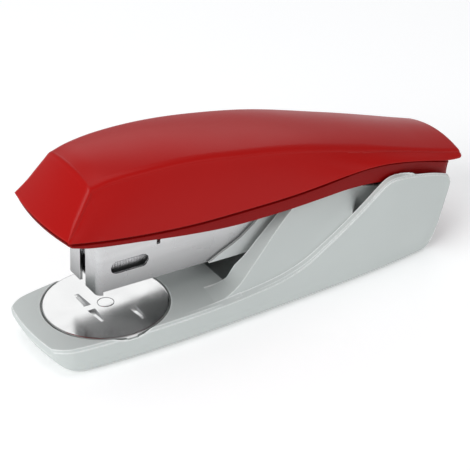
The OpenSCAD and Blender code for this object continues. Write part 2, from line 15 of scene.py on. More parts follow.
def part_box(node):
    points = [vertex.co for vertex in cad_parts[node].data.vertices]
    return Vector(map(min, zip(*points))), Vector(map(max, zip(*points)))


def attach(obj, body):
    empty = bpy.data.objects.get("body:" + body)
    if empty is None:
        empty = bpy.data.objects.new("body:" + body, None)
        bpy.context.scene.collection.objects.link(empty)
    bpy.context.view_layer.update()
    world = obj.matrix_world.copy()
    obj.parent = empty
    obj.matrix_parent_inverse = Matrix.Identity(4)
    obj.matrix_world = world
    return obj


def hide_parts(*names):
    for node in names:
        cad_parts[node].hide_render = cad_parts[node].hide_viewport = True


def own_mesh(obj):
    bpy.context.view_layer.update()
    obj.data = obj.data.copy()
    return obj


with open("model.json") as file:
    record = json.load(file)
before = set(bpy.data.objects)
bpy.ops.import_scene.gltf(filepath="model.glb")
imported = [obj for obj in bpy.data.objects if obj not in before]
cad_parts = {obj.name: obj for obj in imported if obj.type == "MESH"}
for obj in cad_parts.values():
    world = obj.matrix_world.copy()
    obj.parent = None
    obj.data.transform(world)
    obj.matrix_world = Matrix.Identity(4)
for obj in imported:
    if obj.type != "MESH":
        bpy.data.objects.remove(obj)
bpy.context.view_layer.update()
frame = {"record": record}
RECORD = frame["record"]

MM = 0.001
MERGE_DISTANCE = 0.002 * MM

Point = tuple[float, float]
Place = tuple[float, float, float]
Colour = tuple[float, float, float]
Piece = bpy.types.Object

logging.basicConfig(level=logging.INFO, format="%(message)s")
log = logging.getLogger("stapler")


# ---------------------------------------------------------------- curves and frames


def mix(a: float, b: float, t: float) -> float:
    """Return the value a share t of the way from a to b."""
    return a + (b - a) * t


def ease(low: float, high: float, x: float) -> float:
    """Return a smooth step from 0 at low to 1 at high."""
    t = min(max((x - low) / (high - low), 0.0), 1.0)
    return t * t * (3 - 2 * t)


def steps(low: float, high: float, count: int) -> list[float]:
    """Return count + 1 even values from low to high."""
    return [mix(low, high, i / count) for i in range(count + 1)]


@dataclass(frozen=True)
class Guide:
    """A smooth line through points whose first values rise, in millimetres."""

    points: tuple[Point, ...]

    def slope(self, i: int) -> float:
        """Return the slope at point i from its neighbours."""
        low = self.points[max(i - 1, 0)]
        high = self.points[min(i + 1, len(self.points) - 1)]
        return (high[1] - low[1]) / (high[0] - low[0])

    def at(self, x: float) -> float:
        """Return the height of the line at x, held level past its ends."""
        last = len(self.points) - 2
        i = next((k for k in range(last) if x < self.points[k + 1][0]), last)
        (x0, z0), (x1, z1) = self.points[i], self.points[i + 1]
        run = x1 - x0
        t = min(max((x - x0) / run, 0.0), 1.0)
        a, b, rise = self.slope(i) * run, self.slope(i + 1) * run, z1 - z0
        return z0 + a * t + (3 * rise - 2 * a - b) * t * t + (a + b - 2 * rise) * t ** 3


def joint(name: str) -> dict:
    """Return the record's joint of that name."""
    return next(j for j in RECORD["behaviour"]["joints"] if j["name"] == name)


PIVOT = Vector(joint("magazine_pivot")["pos_m"]) / MM
ANVIL = Vector(joint("anvil_turn")["pos_m"]) / MM
ALONG = Vector(joint("pusher_slide")["axis"])
ARM_TILT = math.asin(-ALONG.z)


def arm_place(u: float, y: float, w: float) -> Place:
    """Turn a place in the magazine arm's own frame into the stapler's frame.

    Args:
        u: Distance along the arm from the pivot, rearward.
        y: Distance across.
        w: Height above the pivot, square to the arm.

    Returns:
        The place in millimetres in the stapler's frame.
    """
    cosine, sine = math.cos(ARM_TILT), math.sin(ARM_TILT)
    return (PIVOT.x + u * cosine + w * sine, y, PIVOT.z - u * sine + w * cosine)


# ---------------------------------------------------------------- mesh work


def linked(name: str, data: bpy.types.ID) -> Piece:
    """Make an object of its data and put it in the scene."""
    made = bpy.data.objects.new(name, data)
    bpy.context.scene.collection.objects.link(made)
    return made


def baked(name: str, build: bmesh.types.BMesh) -> Piece:
    """Turn a mesh under construction into an object and free it."""
    mesh = bpy.data.meshes.new(name)
    build.to_mesh(mesh)
    build.free()
    return linked(name, mesh)


def mesh_piece(name: str, points: Sequence[Place], faces: Sequence[Sequence[int]]) -> Piece:
    """Make a closed piece from points in millimetres.

    Args:
        name: Name of the new object.
        points: Corner places.
        faces: Corner numbers of each face.

    Returns:
        The object, with merged doubles and outward faces.
    """
    build = bmesh.new()
    corners = [build.verts.new(Vector(p) * MM) for p in points]
    for face in faces:
        build.faces.new([corners[i] for i in face])
    return piece_from(name, build)


def piece_from(name: str, build: bmesh.types.BMesh) -> Piece:
    """Merge doubles, turn the faces outwards and link the result as an object."""
    bmesh.ops.remove_doubles(build, verts=build.verts, dist=MERGE_DISTANCE)
    bmesh.ops.dissolve_degenerate(build, edges=build.edges, dist=MERGE_DISTANCE)
    bmesh.ops.recalc_face_normals(build, faces=build.faces)
    return baked(name, build)


def skin(rows: Sequence[Sequence[Place]], closed: bool, capped: bool) -> tuple[list[Place], list[list[int]]]:
    """Join rows of places into a skin of quads.

    Args:
        rows: Rows with the same number of places.
        closed: Whether each row is a loop.
        capped: Whether the first and the last row are filled with one face.

    Returns:
        The places and the faces.
    """
    width = len(rows[0])
    places = [p for row in rows for p in row]
    faces = []
    for i in range(len(rows) - 1):
        for j in range(width if closed else width - 1):
            a, b = i * width + j, i * width + (j + 1) % width
            faces.append([a, b, b + width, a + width])
    if capped:
        last = (len(rows) - 1) * width
        faces.append(list(range(width)))
        faces.append([last + j for j in reversed(range(width))])
    return places, faces


def loft(name: str, rows: Sequence[Sequence[Place]]) -> Piece:
    """Make a solid through a row of closed sections."""
    places, faces = skin(rows, closed=True, capped=True)
    return mesh_piece(name, places, faces)


def turned(name: str, profile: Sequence[Point], sides: int = 48) -> Piece:
    """Turn a half profile of radius and height points about the Z axis through the origin."""
    places = []
    for k in range(sides):
        angle = math.tau * k / sides
        places.append([(r * math.cos(angle), r * math.sin(angle), z) for r, z in profile])
    points, faces = skin(places + places[:1], closed=False, capped=False)
    count = len(profile)
    faces.append([k * count for k in range(sides)])
    faces.append([k * count + count - 1 for k in range(sides)])
    return mesh_piece(name, points, [f for f in faces if len(f) > 2])


def moved(piece: Piece, place: Place, turn: Matrix | None = None) -> Piece:
    """Turn a piece's mesh, then move it to a place in millimetres."""
    matrix = Matrix.Translation(Vector(place) * MM)
    piece.data.transform(matrix @ (turn.to_4x4() if turn else Matrix.Identity(4)))
    return piece


def joined(name: str, parts: Sequence[Piece]) -> Piece:
    """Join pieces into one object, keeping their meshes as they are."""
    build = bmesh.new()
    for part in parts:
        build.from_mesh(part.data)
        bpy.data.objects.remove(part)
    return baked(name, build)


def settled(piece: Piece) -> Piece:
    """Apply a piece's modifiers to its mesh."""
    graph = bpy.context.evaluated_depsgraph_get()
    mesh = bpy.data.meshes.new_from_object(piece.evaluated_get(graph))
    piece.modifiers.clear()
    piece.data = mesh
    return piece


def carved(piece: Piece, tools: Sequence[Piece]) -> Piece:
    """Cut tool solids out of a piece and remove them."""
    for tool in tools:
        cut = piece.modifiers.new("cut", "BOOLEAN")
        cut.operation = "DIFFERENCE"
        cut.solver = "EXACT"
        cut.object = tool
    settled(piece)
    for tool in tools:
        bpy.data.objects.remove(tool)
    return piece


def softened(piece: Piece, width: float, segments: int = 2, angle: float = 28.0) -> Piece:
    """Round a piece's edges a little and even out its shading.

    Args:
        piece: The object.
        width: Width of the rounding in millimetres.
        segments: Number of steps over the rounding.
        angle: Edges sharper than this many degrees are rounded.

    Returns:
        The same object.
    """
    return shaded(rounded(piece, width, segments, angle))


def rounded(piece: Piece, width: float, segments: int, angle: float) -> Piece:
    """Bevel the edges sharper than an angle in degrees by a width in millimetres."""
    rounding = piece.modifiers.new("round", "BEVEL")
    rounding.width = width * MM
    rounding.segments = segments
    rounding.limit_method = "ANGLE"
    rounding.angle_limit = math.radians(angle)
    rounding.use_clamp_overlap = True
    return settled(piece)


def shaded(piece: Piece, sharp: float = 40.0) -> Piece:
    """Shade a piece smoothly between edges sharper than an angle in degrees."""
    piece.data.shade_smooth()
    piece.data.set_sharp_from_angle(angle=math.radians(sharp))
    even = piece.modifiers.new("even", "WEIGHTED_NORMAL")
    even.keep_sharp = True
    even.weight = 50
    return settled(piece)


def node_copy(name: str, node: str) -> Piece:
    """Copy a frame node's mesh as a merged solid with its flat faces whole."""
    build = bmesh.new()
    build.from_mesh(bpy.data.objects[node].data)
    bmesh.ops.remove_doubles(build, verts=build.verts, dist=MERGE_DISTANCE)
    flat = math.radians(0.6)
    bmesh.ops.dissolve_limit(build, angle_limit=flat, verts=build.verts, edges=build.edges)
    return baked(name, build)


# ---------------------------------------------------------------- shader groups


class Desk:
    """Adds, sets and links the nodes of one tree."""

    def __init__(self, tree: bpy.types.NodeTree) -> None:
        """Keep the tree and clear it."""
        self.tree = tree
        tree.nodes.clear()

    def add(self, kind: str, feeds: dict[str | int, object] | None = None, **settings: object) -> bpy.types.Node:
        """Add a node.

        Args:
            kind: Type name of the node.
            feeds: Value or source socket for each input, by its name or number.
            settings: Properties of the node.

        Returns:
            The new node.
        """
        node = self.tree.nodes.new(kind)
        for key, value in settings.items():
            setattr(node, key, value)
        for key, value in (feeds or {}).items():
            if isinstance(value, bpy.types.NodeSocket):
                self.tree.links.new(value, node.inputs[key])
            else:
                node.inputs[key].default_value = value
        return node

    def math(self, operation: str, *values: object) -> bpy.types.NodeSocket:
        """Return the result of a math node on values or sockets."""
        kind = "ShaderNodeMath"
        return self.add(kind, dict(enumerate(values)), operation=operation).outputs[0]

    def span(self, value: object, low: float, high: float, to_low: float, to_high: float) -> bpy.types.NodeSocket:
        """Return value moved from one range to another and clamped."""
        feeds = {"Value": value, "From Min": low, "From Max": high, "To Min": to_low, "To Max": to_high}
        return self.add("ShaderNodeMapRange", feeds).outputs["Result"]

    def blend(self, share: object, first: object, second: object) -> bpy.types.NodeSocket:
        """Return a mix of two colours by share."""
        node = self.add("ShaderNodeMix", data_type="RGBA")
        for slot, value in ((0, share), (6, first), (7, second)):
            if isinstance(value, bpy.types.NodeSocket):
                self.tree.links.new(value, node.inputs[slot])
            else:
                node.inputs[slot].default_value = value
        return node.outputs[2]


def shader_group(name: str, inputs: dict[str, tuple[str, object]],
                 outputs: dict[str, str]) -> tuple[Desk, object, object]:
    """Start a shader node group.

    Args:
        name: Name of the group.
        inputs: Socket type and default value of each input.
        outputs: Socket type of each output.

    Returns:
        The desk for its tree, the group input node and the group output node.
    """
    tree = bpy.data.node_groups.new(name, "ShaderNodeTree")
    desk = Desk(tree)
    for label, (kind, value) in inputs.items():
        socket = tree.interface.new_socket(label, in_out="INPUT", socket_type=kind)
        if value is not None:
            socket.default_value = value
    for label, kind in outputs.items():
        tree.interface.new_socket(label, in_out="OUTPUT", socket_type=kind)
    return desk, desk.add("NodeGroupInput"), desk.add("NodeGroupOutput")


FLOAT, VECTOR = "NodeSocketFloat", "NodeSocketVector"


def fine_grain_group() -> bpy.types.NodeTree:
    """Build the grain of a moulded or blasted surface: a fine height and a slow tone."""
    inputs = {"Place": (VECTOR, None), "Grains per Metre": (FLOAT, 4000.0)}
    desk, given, out = shader_group("fine grain", inputs, {"Height": FLOAT, "Tone": FLOAT})
    place, rate = given.outputs["Place"], given.outputs["Grains per Metre"]
    fine = desk.add("ShaderNodeTexNoise", {"Vector": place, "Scale": rate, "Detail": 2.0})
    coarse_rate = desk.math("MULTIPLY", rate, 0.37)
    pits = desk.add("ShaderNodeTexVoronoi", {"Vector": place, "Scale": coarse_rate})
    slow_rate = desk.math("MULTIPLY", rate, 0.012)
    slow = desk.add("ShaderNodeTexNoise", {"Vector": place, "Scale": slow_rate, "Detail": 3.0})
    height = desk.math("MULTIPLY_ADD", pits.outputs["Distance"], 0.35, fine.outputs[0])
    desk.tree.links.new(height, out.inputs["Height"])
    desk.tree.links.new(slow.outputs[0], out.inputs["Tone"])
    return desk.tree


def brushed_group() -> bpy.types.NodeTree:
    """Build the fine lines of rolled or ground metal, long in one direction."""
    inputs = {"Place": (VECTOR, None), "Lines": (VECTOR, (60.0, 60.0, 5200.0))}
    desk, given, out = shader_group("brushed lines", inputs, {"Height": FLOAT, "Tone": FLOAT})
    stretched = desk.add("ShaderNodeVectorMath", {0: given.outputs["Place"], 1: given.outputs["Lines"]},
                         operation="MULTIPLY")
    lines = desk.add("ShaderNodeTexNoise", {"Vector": stretched.outputs[0], "Scale": 1.0, "Detail": 4.0})
    bands = desk.add("ShaderNodeTexNoise", {"Vector": stretched.outputs[0], "Scale": 0.11, "Detail": 2.0})
    desk.tree.links.new(lines.outputs[0], out.inputs["Height"])
    desk.tree.links.new(bands.outputs[0], out.inputs["Tone"])
    return desk.tree


def edge_wear_and_highlight_group() -> bpy.types.NodeTree:
    """Build a mask of worn edges and painted edge highlights, broken up by noise."""
    inputs = {"Place": (VECTOR, None), "Reach": (FLOAT, 0.0004), "Amount": (FLOAT, 0.5)}
    desk, given, out = shader_group("edge wear and highlight", inputs, {"Mask": FLOAT})
    # The mask lightens edges: worn edges on most finishes, painted highlight lines on the grey plastic.
    rounded = desk.add("ShaderNodeBevel", {"Radius": given.outputs["Reach"]}, samples=4)
    plain = desk.add("ShaderNodeNewGeometry")
    turn = desk.add("ShaderNodeVectorMath", {0: rounded.outputs[0], 1: plain.outputs["Normal"]},
                    operation="DOT_PRODUCT")
    edge = desk.span(turn.outputs["Value"], 0.998, 0.955, 0.0, 1.0)
    broken = desk.add("ShaderNodeTexNoise", {"Vector": given.outputs["Place"], "Scale": 900.0, "Detail": 3.0})
    patches = desk.span(broken.outputs[0], 0.35, 0.7, 0.6, 1.0)
    mask = desk.math("MULTIPLY", desk.math("MULTIPLY", edge, patches), given.outputs["Amount"])
    desk.tree.links.new(mask, out.inputs["Mask"])
    return desk.tree


def handling_group() -> bpy.types.NodeTree:
    """Build a mask of faint finger marks and dust, large and uneven."""
    inputs = {"Place": (VECTOR, None), "Marks per Metre": (FLOAT, 60.0)}
    desk, given, out = shader_group("handling marks", inputs, {"Mask": FLOAT})
    feeds = {"Vector": given.outputs["Place"], "Scale": given.outputs["Marks per Metre"], "Detail": 5.0,
             "Distortion": 0.6}
    smear = desk.add("ShaderNodeTexNoise", feeds)
    mask = desk.span(smear.outputs[0], 0.38, 0.68, 0.0, 1.0)
    desk.tree.links.new(mask, out.inputs["Mask"])
    return desk.tree


class Effects:
    """The shader groups that the finishes share, each built once."""

    makers: dict[str, Callable[[], bpy.types.NodeTree]] = {
        "fine grain": fine_grain_group,
        "brushed lines": brushed_group,
        "edge wear and highlight": edge_wear_and_highlight_group,
        "handling marks": handling_group,
    }

    @classmethod
    def tree(cls, name: str) -> bpy.types.NodeTree:
        """Return a group's tree, building it on first use."""
        return bpy.data.node_groups.get(name) or cls.makers[name]()


# ---------------------------------------------------------------- finishes


class Lay(Enum):
    """The way that fine lines run on a metal surface, as line rates along X, Y and Z."""

    ALONG = (70.0, 4200.0, 4200.0)
    ACROSS = (4200.0, 70.0, 4200.0)
    EVEN = (1500.0, 1500.0, 1500.0)


@dataclass(frozen=True)
class Finish:
    """What every finish has: a name, a colour, a gloss, and how far its edges are lightened, as worn edges or as a
    painted highlight.
    """

    name: str
    colour: Colour
    roughness: float
    wear_and_highlight: float = 0.4
    worn_and_highlight_colour: Colour = (0.8, 0.8, 0.8)
    marks: float = 0.05

    def material(self) -> bpy.types.Material:
        """Return this finish's material, built on first use."""
        known = bpy.data.materials.get(self.name)
        if known:
            return known
        made = bpy.data.materials.new(self.name)
        made.use_nodes = True
        made.diffuse_color = (*self.colour, 1.0)
        desk = Desk(made.node_tree)
        surface = desk.add("ShaderNodeBsdfPrincipled")
        output = desk.add("ShaderNodeOutputMaterial")
        made.node_tree.links.new(surface.outputs[0], output.inputs["Surface"])
        self.dress(desk, surface)
        return made

    def group(self, desk: Desk, name: str, place: object, **values: object) -> bpy.types.Node:
        """Place a shared effect in a material with its own values."""
        node = desk.add("ShaderNodeGroup", node_tree=Effects.tree(name))
        desk.tree.links.new(place, node.inputs["Place"])
        for label, value in values.items():
            node.inputs[label.replace("_", " ")].default_value = value
        return node

    def dress(self, desk: Desk, surface: bpy.types.Node) -> None:
        """Build the nodes that feed the surface."""
        raise NotImplementedError

    def worn_and_highlit_edges(self, desk: Desk, place: object, colour: object, reach: float) -> bpy.types.NodeSocket:
        """Lay the lighter edge colour over a colour along the edges; it shows worn edges on most finishes and is a
        painted highlight on the grey plastic.
        """
        edge = self.group(desk, "edge wear and highlight", place, Reach=reach, Amount=self.wear_and_highlight)
        return desk.blend(edge.outputs["Mask"], colour, (*self.worn_and_highlight_colour, 1.0))

    def feed(self, desk: Desk, surface: bpy.types.Node, colour: object, marks: bpy.types.Node,
             relief: bpy.types.Node, strength: float, depth: float) -> None:
        """Feed the surface its colour, a gloss varied by the marks, and a bump of a depth in millimetres."""
        low, high = self.roughness - self.marks, self.roughness + self.marks
        gloss = desk.span(marks.outputs["Mask"], 0.0, 1.0, low, high)
        feeds = {"Height": relief.outputs["Height"], "Strength": strength, "Distance": depth * MM}
        bump = desk.add("ShaderNodeBump", feeds)
        sources = {"Base Color": colour, "Roughness": gloss, "Normal": bump.outputs[0]}
        for label, source in sources.items():
            desk.tree.links.new(source, surface.inputs[label])

    def shade_of(self, share: float) -> tuple[float, float, float, float]:
        """Return the colour scaled by share, with full alpha."""
        return (*(min(c * share, 1.0) for c in self.colour), 1.0)


@dataclass(frozen=True)
class Moulded(Finish):
    """Moulded plastic with a fine spark-eroded grain."""

    grains: float = 4200.0
    grain_depth: float = 0.006
    grain_strength: float = 0.35
    coat: float = 0.0
    coat_roughness: float = 0.3
    tone: float = 0.06
    shine: float = 0.5
    wear_and_highlight_reach: float = 0.0004

    def dress(self, desk: Desk, surface: bpy.types.Node) -> None:
        """Build the grain, the slow tone, the lightened edges (worn, and a painted highlight on the grey plastic)
        and the finger marks.
        """
        place = desk.add("ShaderNodeTexCoord").outputs["Object"]
        grain = self.group(desk, "fine grain", place, Grains_per_Metre=self.grains)
        marks = self.group(desk, "handling marks", place)
        toned = desk.blend(grain.outputs["Tone"], self.shade_of(1 - self.tone), self.shade_of(1 + self.tone))
        colour = self.worn_and_highlit_edges(desk, place, toned, self.wear_and_highlight_reach)
        self.feed(desk, surface, colour, marks, grain, self.grain_strength, self.grain_depth)
        surface.inputs["Coat Weight"].default_value = self.coat
        surface.inputs["Coat Roughness"].default_value = self.coat_roughness
        surface.inputs["Specular IOR Level"].default_value = self.shine


@dataclass(frozen=True)
class Metal(Finish):
    """Rolled, ground or turned metal with fine lines."""

    lay: Lay = Lay.ALONG
    line_depth: float = 0.004
    line_strength: float = 0.2
    tone: float = 0.1
    # Height band in millimetres below which the colour is darkened to a third: painted shade.
    painted_shade_below: Point | None = None

    def dress(self, desk: Desk, surface: bpy.types.Node) -> None:
        """Build the fine lines, the bands of tone, painted shade low on the piece where asked, bright edges and
        uneven gloss.
        """
        place = desk.add("ShaderNodeTexCoord").outputs["Object"]
        lines = self.group(desk, "brushed lines", place, Lines=self.lay.value)
        marks = self.group(desk, "handling marks", place, Marks_per_Metre=90.0)
        toned = desk.blend(lines.outputs["Tone"], self.shade_of(1 - self.tone), self.shade_of(1 + self.tone))
        # Painted shade: below the height band the colour darkens to a third, standing in for the dark reflection
        # and shade on the lower side.
        if self.painted_shade_below:
            height = desk.add("ShaderNodeSeparateXYZ", {0: place}).outputs["Z"]
            painted_shade = desk.span(height, self.painted_shade_below[0] * MM, self.painted_shade_below[1] * MM, 1.0, 0.0)
            toned = desk.blend(painted_shade, toned, self.shade_of(0.32))
        colour = self.worn_and_highlit_edges(desk, place, toned, 0.00025)
        self.feed(desk, surface, colour, marks, lines, self.line_strength, self.line_depth)
        surface.inputs["Metallic"].default_value = 1.0


RED_COVER = Moulded("red cover plastic", (0.40, 0.004, 0.003), 0.33, wear_and_highlight=0.2, worn_and_highlight_colour=(0.55, 0.07, 0.06),
                    marks=0.015, grains=5200.0, grain_strength=0.2, tone=0.04, shine=0.16)
RED_FRAME = Moulded("red frame plastic", (0.24, 0.002, 0.002), 0.42, wear_and_highlight=0.15, worn_and_highlight_colour=(0.45, 0.05, 0.04),
                    marks=0.02, grains=5200.0, tone=0.05, shine=0.12)
# Grey base: full edge amount with a near-white edge colour paints thin highlight lines along every edge; this is
# painted highlight, not worn plastic.
GREY_BASE = Moulded("grey base plastic", (0.57, 0.61, 0.595), 0.45, wear_and_highlight=1.0, worn_and_highlight_colour=(0.93, 0.95, 0.94),
                    tone=0.03, wear_and_highlight_reach=0.00055)
# Grey cheeks: the same painted highlight lines along their edges.
GREY_CHEEK = Moulded("grey cheek plastic", (0.57, 0.61, 0.595), 0.45, wear_and_highlight=1.0, worn_and_highlight_colour=(0.93, 0.95, 0.94),
                     tone=0.03, wear_and_highlight_reach=0.00055)
GREY_SLEEVE = Moulded("grey sleeve plastic", (0.66, 0.69, 0.68), 0.4, wear_and_highlight=0.3, worn_and_highlight_colour=(0.85, 0.86, 0.86),
                      tone=0.03)
BLACK_PUSHER = Moulded("black pusher plastic", (0.03, 0.03, 0.032), 0.35, wear_and_highlight=0.2,
                       worn_and_highlight_colour=(0.12, 0.12, 0.12))
SOLE_RUBBER = Moulded("sole rubber", (0.045, 0.046, 0.048), 0.8, wear_and_highlight=0.3, worn_and_highlight_colour=(0.11, 0.11, 0.11),
                      grains=1800.0, grain_depth=0.03, grain_strength=0.6, tone=0.15)
# The arm's colour darkens below 15 to 29 mm height: painted shade and painted dark reflection on its lower side.
NICKEL_ARM = Metal("satin nickel", (0.62, 0.625, 0.63), 0.26, painted_shade_below=(15.0, 29.0), wear_and_highlight=0.8,
                   worn_and_highlight_colour=(0.92, 0.92, 0.92))
POLISHED = Metal("polished anvil steel", (0.72, 0.72, 0.715), 0.2, wear_and_highlight=0.6, worn_and_highlight_colour=(0.95, 0.95, 0.95),
                 marks=0.04, lay=Lay.EVEN, line_strength=0.05, tone=0.04)
ZINC = Metal("zinc plate", (0.56, 0.57, 0.58), 0.38, wear_and_highlight=0.4, worn_and_highlight_colour=(0.85, 0.85, 0.85), marks=0.08)
HARD_STEEL = Metal("hardened sheet", (0.36, 0.365, 0.375), 0.36, wear_and_highlight=0.5,
                   worn_and_highlight_colour=(0.75, 0.75, 0.75))
OILED_STEEL = Metal("oiled steel", (0.22, 0.225, 0.23), 0.42, wear_and_highlight=0.5,
                    worn_and_highlight_colour=(0.55, 0.55, 0.55), lay=Lay.EVEN)
SCREW_STEEL = Metal("screw steel", (0.55, 0.55, 0.55), 0.32, wear_and_highlight=0.6,
                    worn_and_highlight_colour=(0.9, 0.9, 0.9), lay=Lay.EVEN)
PIN_STEEL = Metal("turned pin steel", (0.60, 0.61, 0.62), 0.25, wear_and_highlight=0.5,
                  worn_and_highlight_colour=(0.9, 0.9, 0.9), lay=Lay.ACROSS)
SPRING_STEEL = Metal("drawn spring steel", (0.45, 0.46, 0.47), 0.3, wear_and_highlight=0.3, lay=Lay.EVEN)
STAPLE_WIRE = Metal("galvanised wire", (0.62, 0.62, 0.63), 0.3, wear_and_highlight=0.4,
                    worn_and_highlight_colour=(0.9, 0.9, 0.9), lay=Lay.ACROSS)


class Body(Enum):
    """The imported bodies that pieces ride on."""

    BASE = "base"
    ANVIL = "anvil"
    MAGAZINE = "magazine"
    PUSHER = "pusher"
    HANDLE = "handle"


def mounted(piece: Piece, body: Body, slot: str, finish: Finish, nodes: Sequence[str]) -> Piece:
    """Give a piece its finish and its body, and hide the nodes it stands for.

    Args:
        piece: The finished object.
        body: The body it moves with.
        slot: The record's material slot; not used.
        finish: What it is made of.
        nodes: Frame nodes that it replaces.

    Returns:
        The same object.
    """
    piece.data.materials.clear()
    piece.data.materials.append(finish.material())
    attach(piece, body.value)
    if nodes:
        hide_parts(*nodes)
    log.info("%s: %d faces on %s, %s", piece.name, len(piece.data.polygons), body.value, finish.name)
    return piece


def mounted_copy(name: str, node: str, body: Body, slot: str, finish: Finish, width: float, segments: int = 2,
                 angle: float = 28.0) -> None:
    """Mount a softened copy of a frame node, with its edges rounded by a width in millimetres."""
    mounted(softened(node_copy(name, node), width, segments, angle), body, slot, finish, [node])


# ---------------------------------------------------------------- repeated pieces


class Recipe:
    """A geometry node tree with named inputs that is run once and baked to a plain mesh."""

    def __init__(self, name: str, inputs: dict[str, tuple[str, object]]) -> None:
        """Start the tree with a geometry input, the named inputs and a material input.

        Args:
            name: Name of the tree.
            inputs: Socket type and default value of each named input.
        """
        self.tree = bpy.data.node_groups.new(name, "GeometryNodeTree")
        self.desk = Desk(self.tree)
        face = self.tree.interface
        face.new_socket("Geometry", in_out="INPUT", socket_type="NodeSocketGeometry")
        for label, (kind, value) in inputs.items():
            socket = face.new_socket(label, in_out="INPUT", socket_type=kind)
            if value is not None:
                socket.default_value = value
        face.new_socket("Finish", in_out="INPUT", socket_type="NodeSocketMaterial")
        face.new_socket("Geometry", in_out="OUTPUT", socket_type="NodeSocketGeometry")
        self.given = self.desk.add("NodeGroupInput")

    def close(self, geometry: object) -> None:
        """End the tree in smooth shading, realised instances and the finish."""
        smooth = self.desk.add("GeometryNodeSetShadeSmooth", {"Geometry": geometry})
        real = self.desk.add("GeometryNodeRealizeInstances", {"Geometry": smooth.outputs[0]})
        feeds = {"Geometry": real.outputs[0], "Material": self.given.outputs["Finish"]}
        finished = self.desk.add("GeometryNodeSetMaterial", feeds)
        self.desk.add("NodeGroupOutput", {"Geometry": finished.outputs[0]})

    def bake(self, name: str, seed: Piece, finish: Finish, values: dict[str, object]) -> Piece:
        """Run the tree on a seed object and return the result as a plain mesh.

        Args:
            name: Name of the new object.
            seed: Object whose mesh goes into the tree; it is removed.
            finish: What the result is made of.
            values: Value of each named input.

        Returns:
            The baked object.
        """
        run = seed.modifiers.new("run", "NODES")
        run.node_group = self.tree
        wanted = {**values, "Finish": finish.material()}
        for item in self.tree.interface.items_tree:
            if item.item_type == "SOCKET" and item.in_out == "INPUT" and item.name in wanted:
                run[item.identifier] = wanted[item.name]
        seed.update_tag()
        graph = bpy.context.evaluated_depsgraph_get()
        mesh = bpy.data.meshes.new_from_object(seed.evaluated_get(graph))
        bpy.data.objects.remove(seed)
        return linked(name, mesh)


def seed_of(points: Sequence[Place], edges: Sequence[tuple[int, int]] = ()) -> Piece:
    """Make a seed object of bare points in millimetres, with edges between some of them."""
    mesh = bpy.data.meshes.new("seed")
    mesh.from_pydata([Vector(p) * MM for p in points], list(edges), [])
    return linked("seed", mesh)


def coil_recipe() -> Recipe:
    """Build the tree that winds a wire into an open coil along Z."""
    inputs = {"Radius": (FLOAT, 0.004), "Wire": (FLOAT, 0.0004), "Height": (FLOAT, 0.015),
              "Turns": (FLOAT, 6.0)}
    recipe = Recipe("wound coil", inputs)
    given = recipe.given.outputs
    feeds = {"Resolution": 40, "Rotations": given["Turns"], "Start Radius": given["Radius"],
             "End Radius": given["Radius"], "Height": given["Height"]}
    spiral = recipe.desk.add("GeometryNodeCurveSpiral", feeds)
    wire = recipe.desk.add("GeometryNodeCurvePrimitiveCircle", {"Resolution": 10, "Radius": given["Wire"]})
    feeds = {"Curve": spiral.outputs[0], "Profile Curve": wire.outputs[0], "Fill Caps": True}
    recipe.close(recipe.desk.add("GeometryNodeCurveToMesh", feeds).outputs[0])
    return recipe


def row_recipe() -> Recipe:
    """Build the tree that repeats the seed mesh in a straight row."""
    inputs = {"Count": ("NodeSocketInt", 10), "Step": (VECTOR, (0.001, 0.0, 0.0))}
    recipe = Recipe("straight row", inputs)
    given = recipe.given.outputs
    line = recipe.desk.add("GeometryNodeMeshLine", {"Count": given["Count"], "Offset": given["Step"]})
    feeds = {"Points": line.outputs[0], "Instance": given["Geometry"]}
    recipe.close(recipe.desk.add("GeometryNodeInstanceOnPoints", feeds).outputs[0])
    return recipe


def wire_row_recipe() -> Recipe:
    """Build the tree that bends the seed's line into a wire and repeats it in a straight row."""
    inputs = {"Count": ("NodeSocketInt", 10), "Step": (VECTOR, (0.001, 0.0, 0.0)), "Bend": (FLOAT, 0.0006),
              "Width": (FLOAT, 0.0005), "Height": (FLOAT, 0.0004)}
    recipe = Recipe("row of bent wires", inputs)
    given, desk = recipe.given.outputs, recipe.desk
    path = desk.add("GeometryNodeMeshToCurve", {"Mesh": given["Geometry"]})
    bent = desk.add("GeometryNodeFilletCurve", {"Curve": path.outputs[0], "Count": 4, "Radius": given["Bend"]},
                    mode="POLY")
    feeds = {"Width": given["Width"], "Height": given["Height"]}
    flat = desk.add("GeometryNodeCurvePrimitiveQuadrilateral", feeds)
    eased = desk.add("GeometryNodeFilletCurve", {"Curve": flat.outputs[0], "Count": 1, "Radius": 0.00012},
                     mode="POLY")
    feeds = {"Curve": bent.outputs[0], "Profile Curve": eased.outputs[0], "Fill Caps": True}
    wire = desk.add("GeometryNodeCurveToMesh", feeds)
    line = desk.add("GeometryNodeMeshLine", {"Count": given["Count"], "Offset": given["Step"]})
    feeds = {"Points": line.outputs[0], "Instance": wire.outputs[0]}
    recipe.close(desk.add("GeometryNodeInstanceOnPoints", feeds).outputs[0])
    return recipe


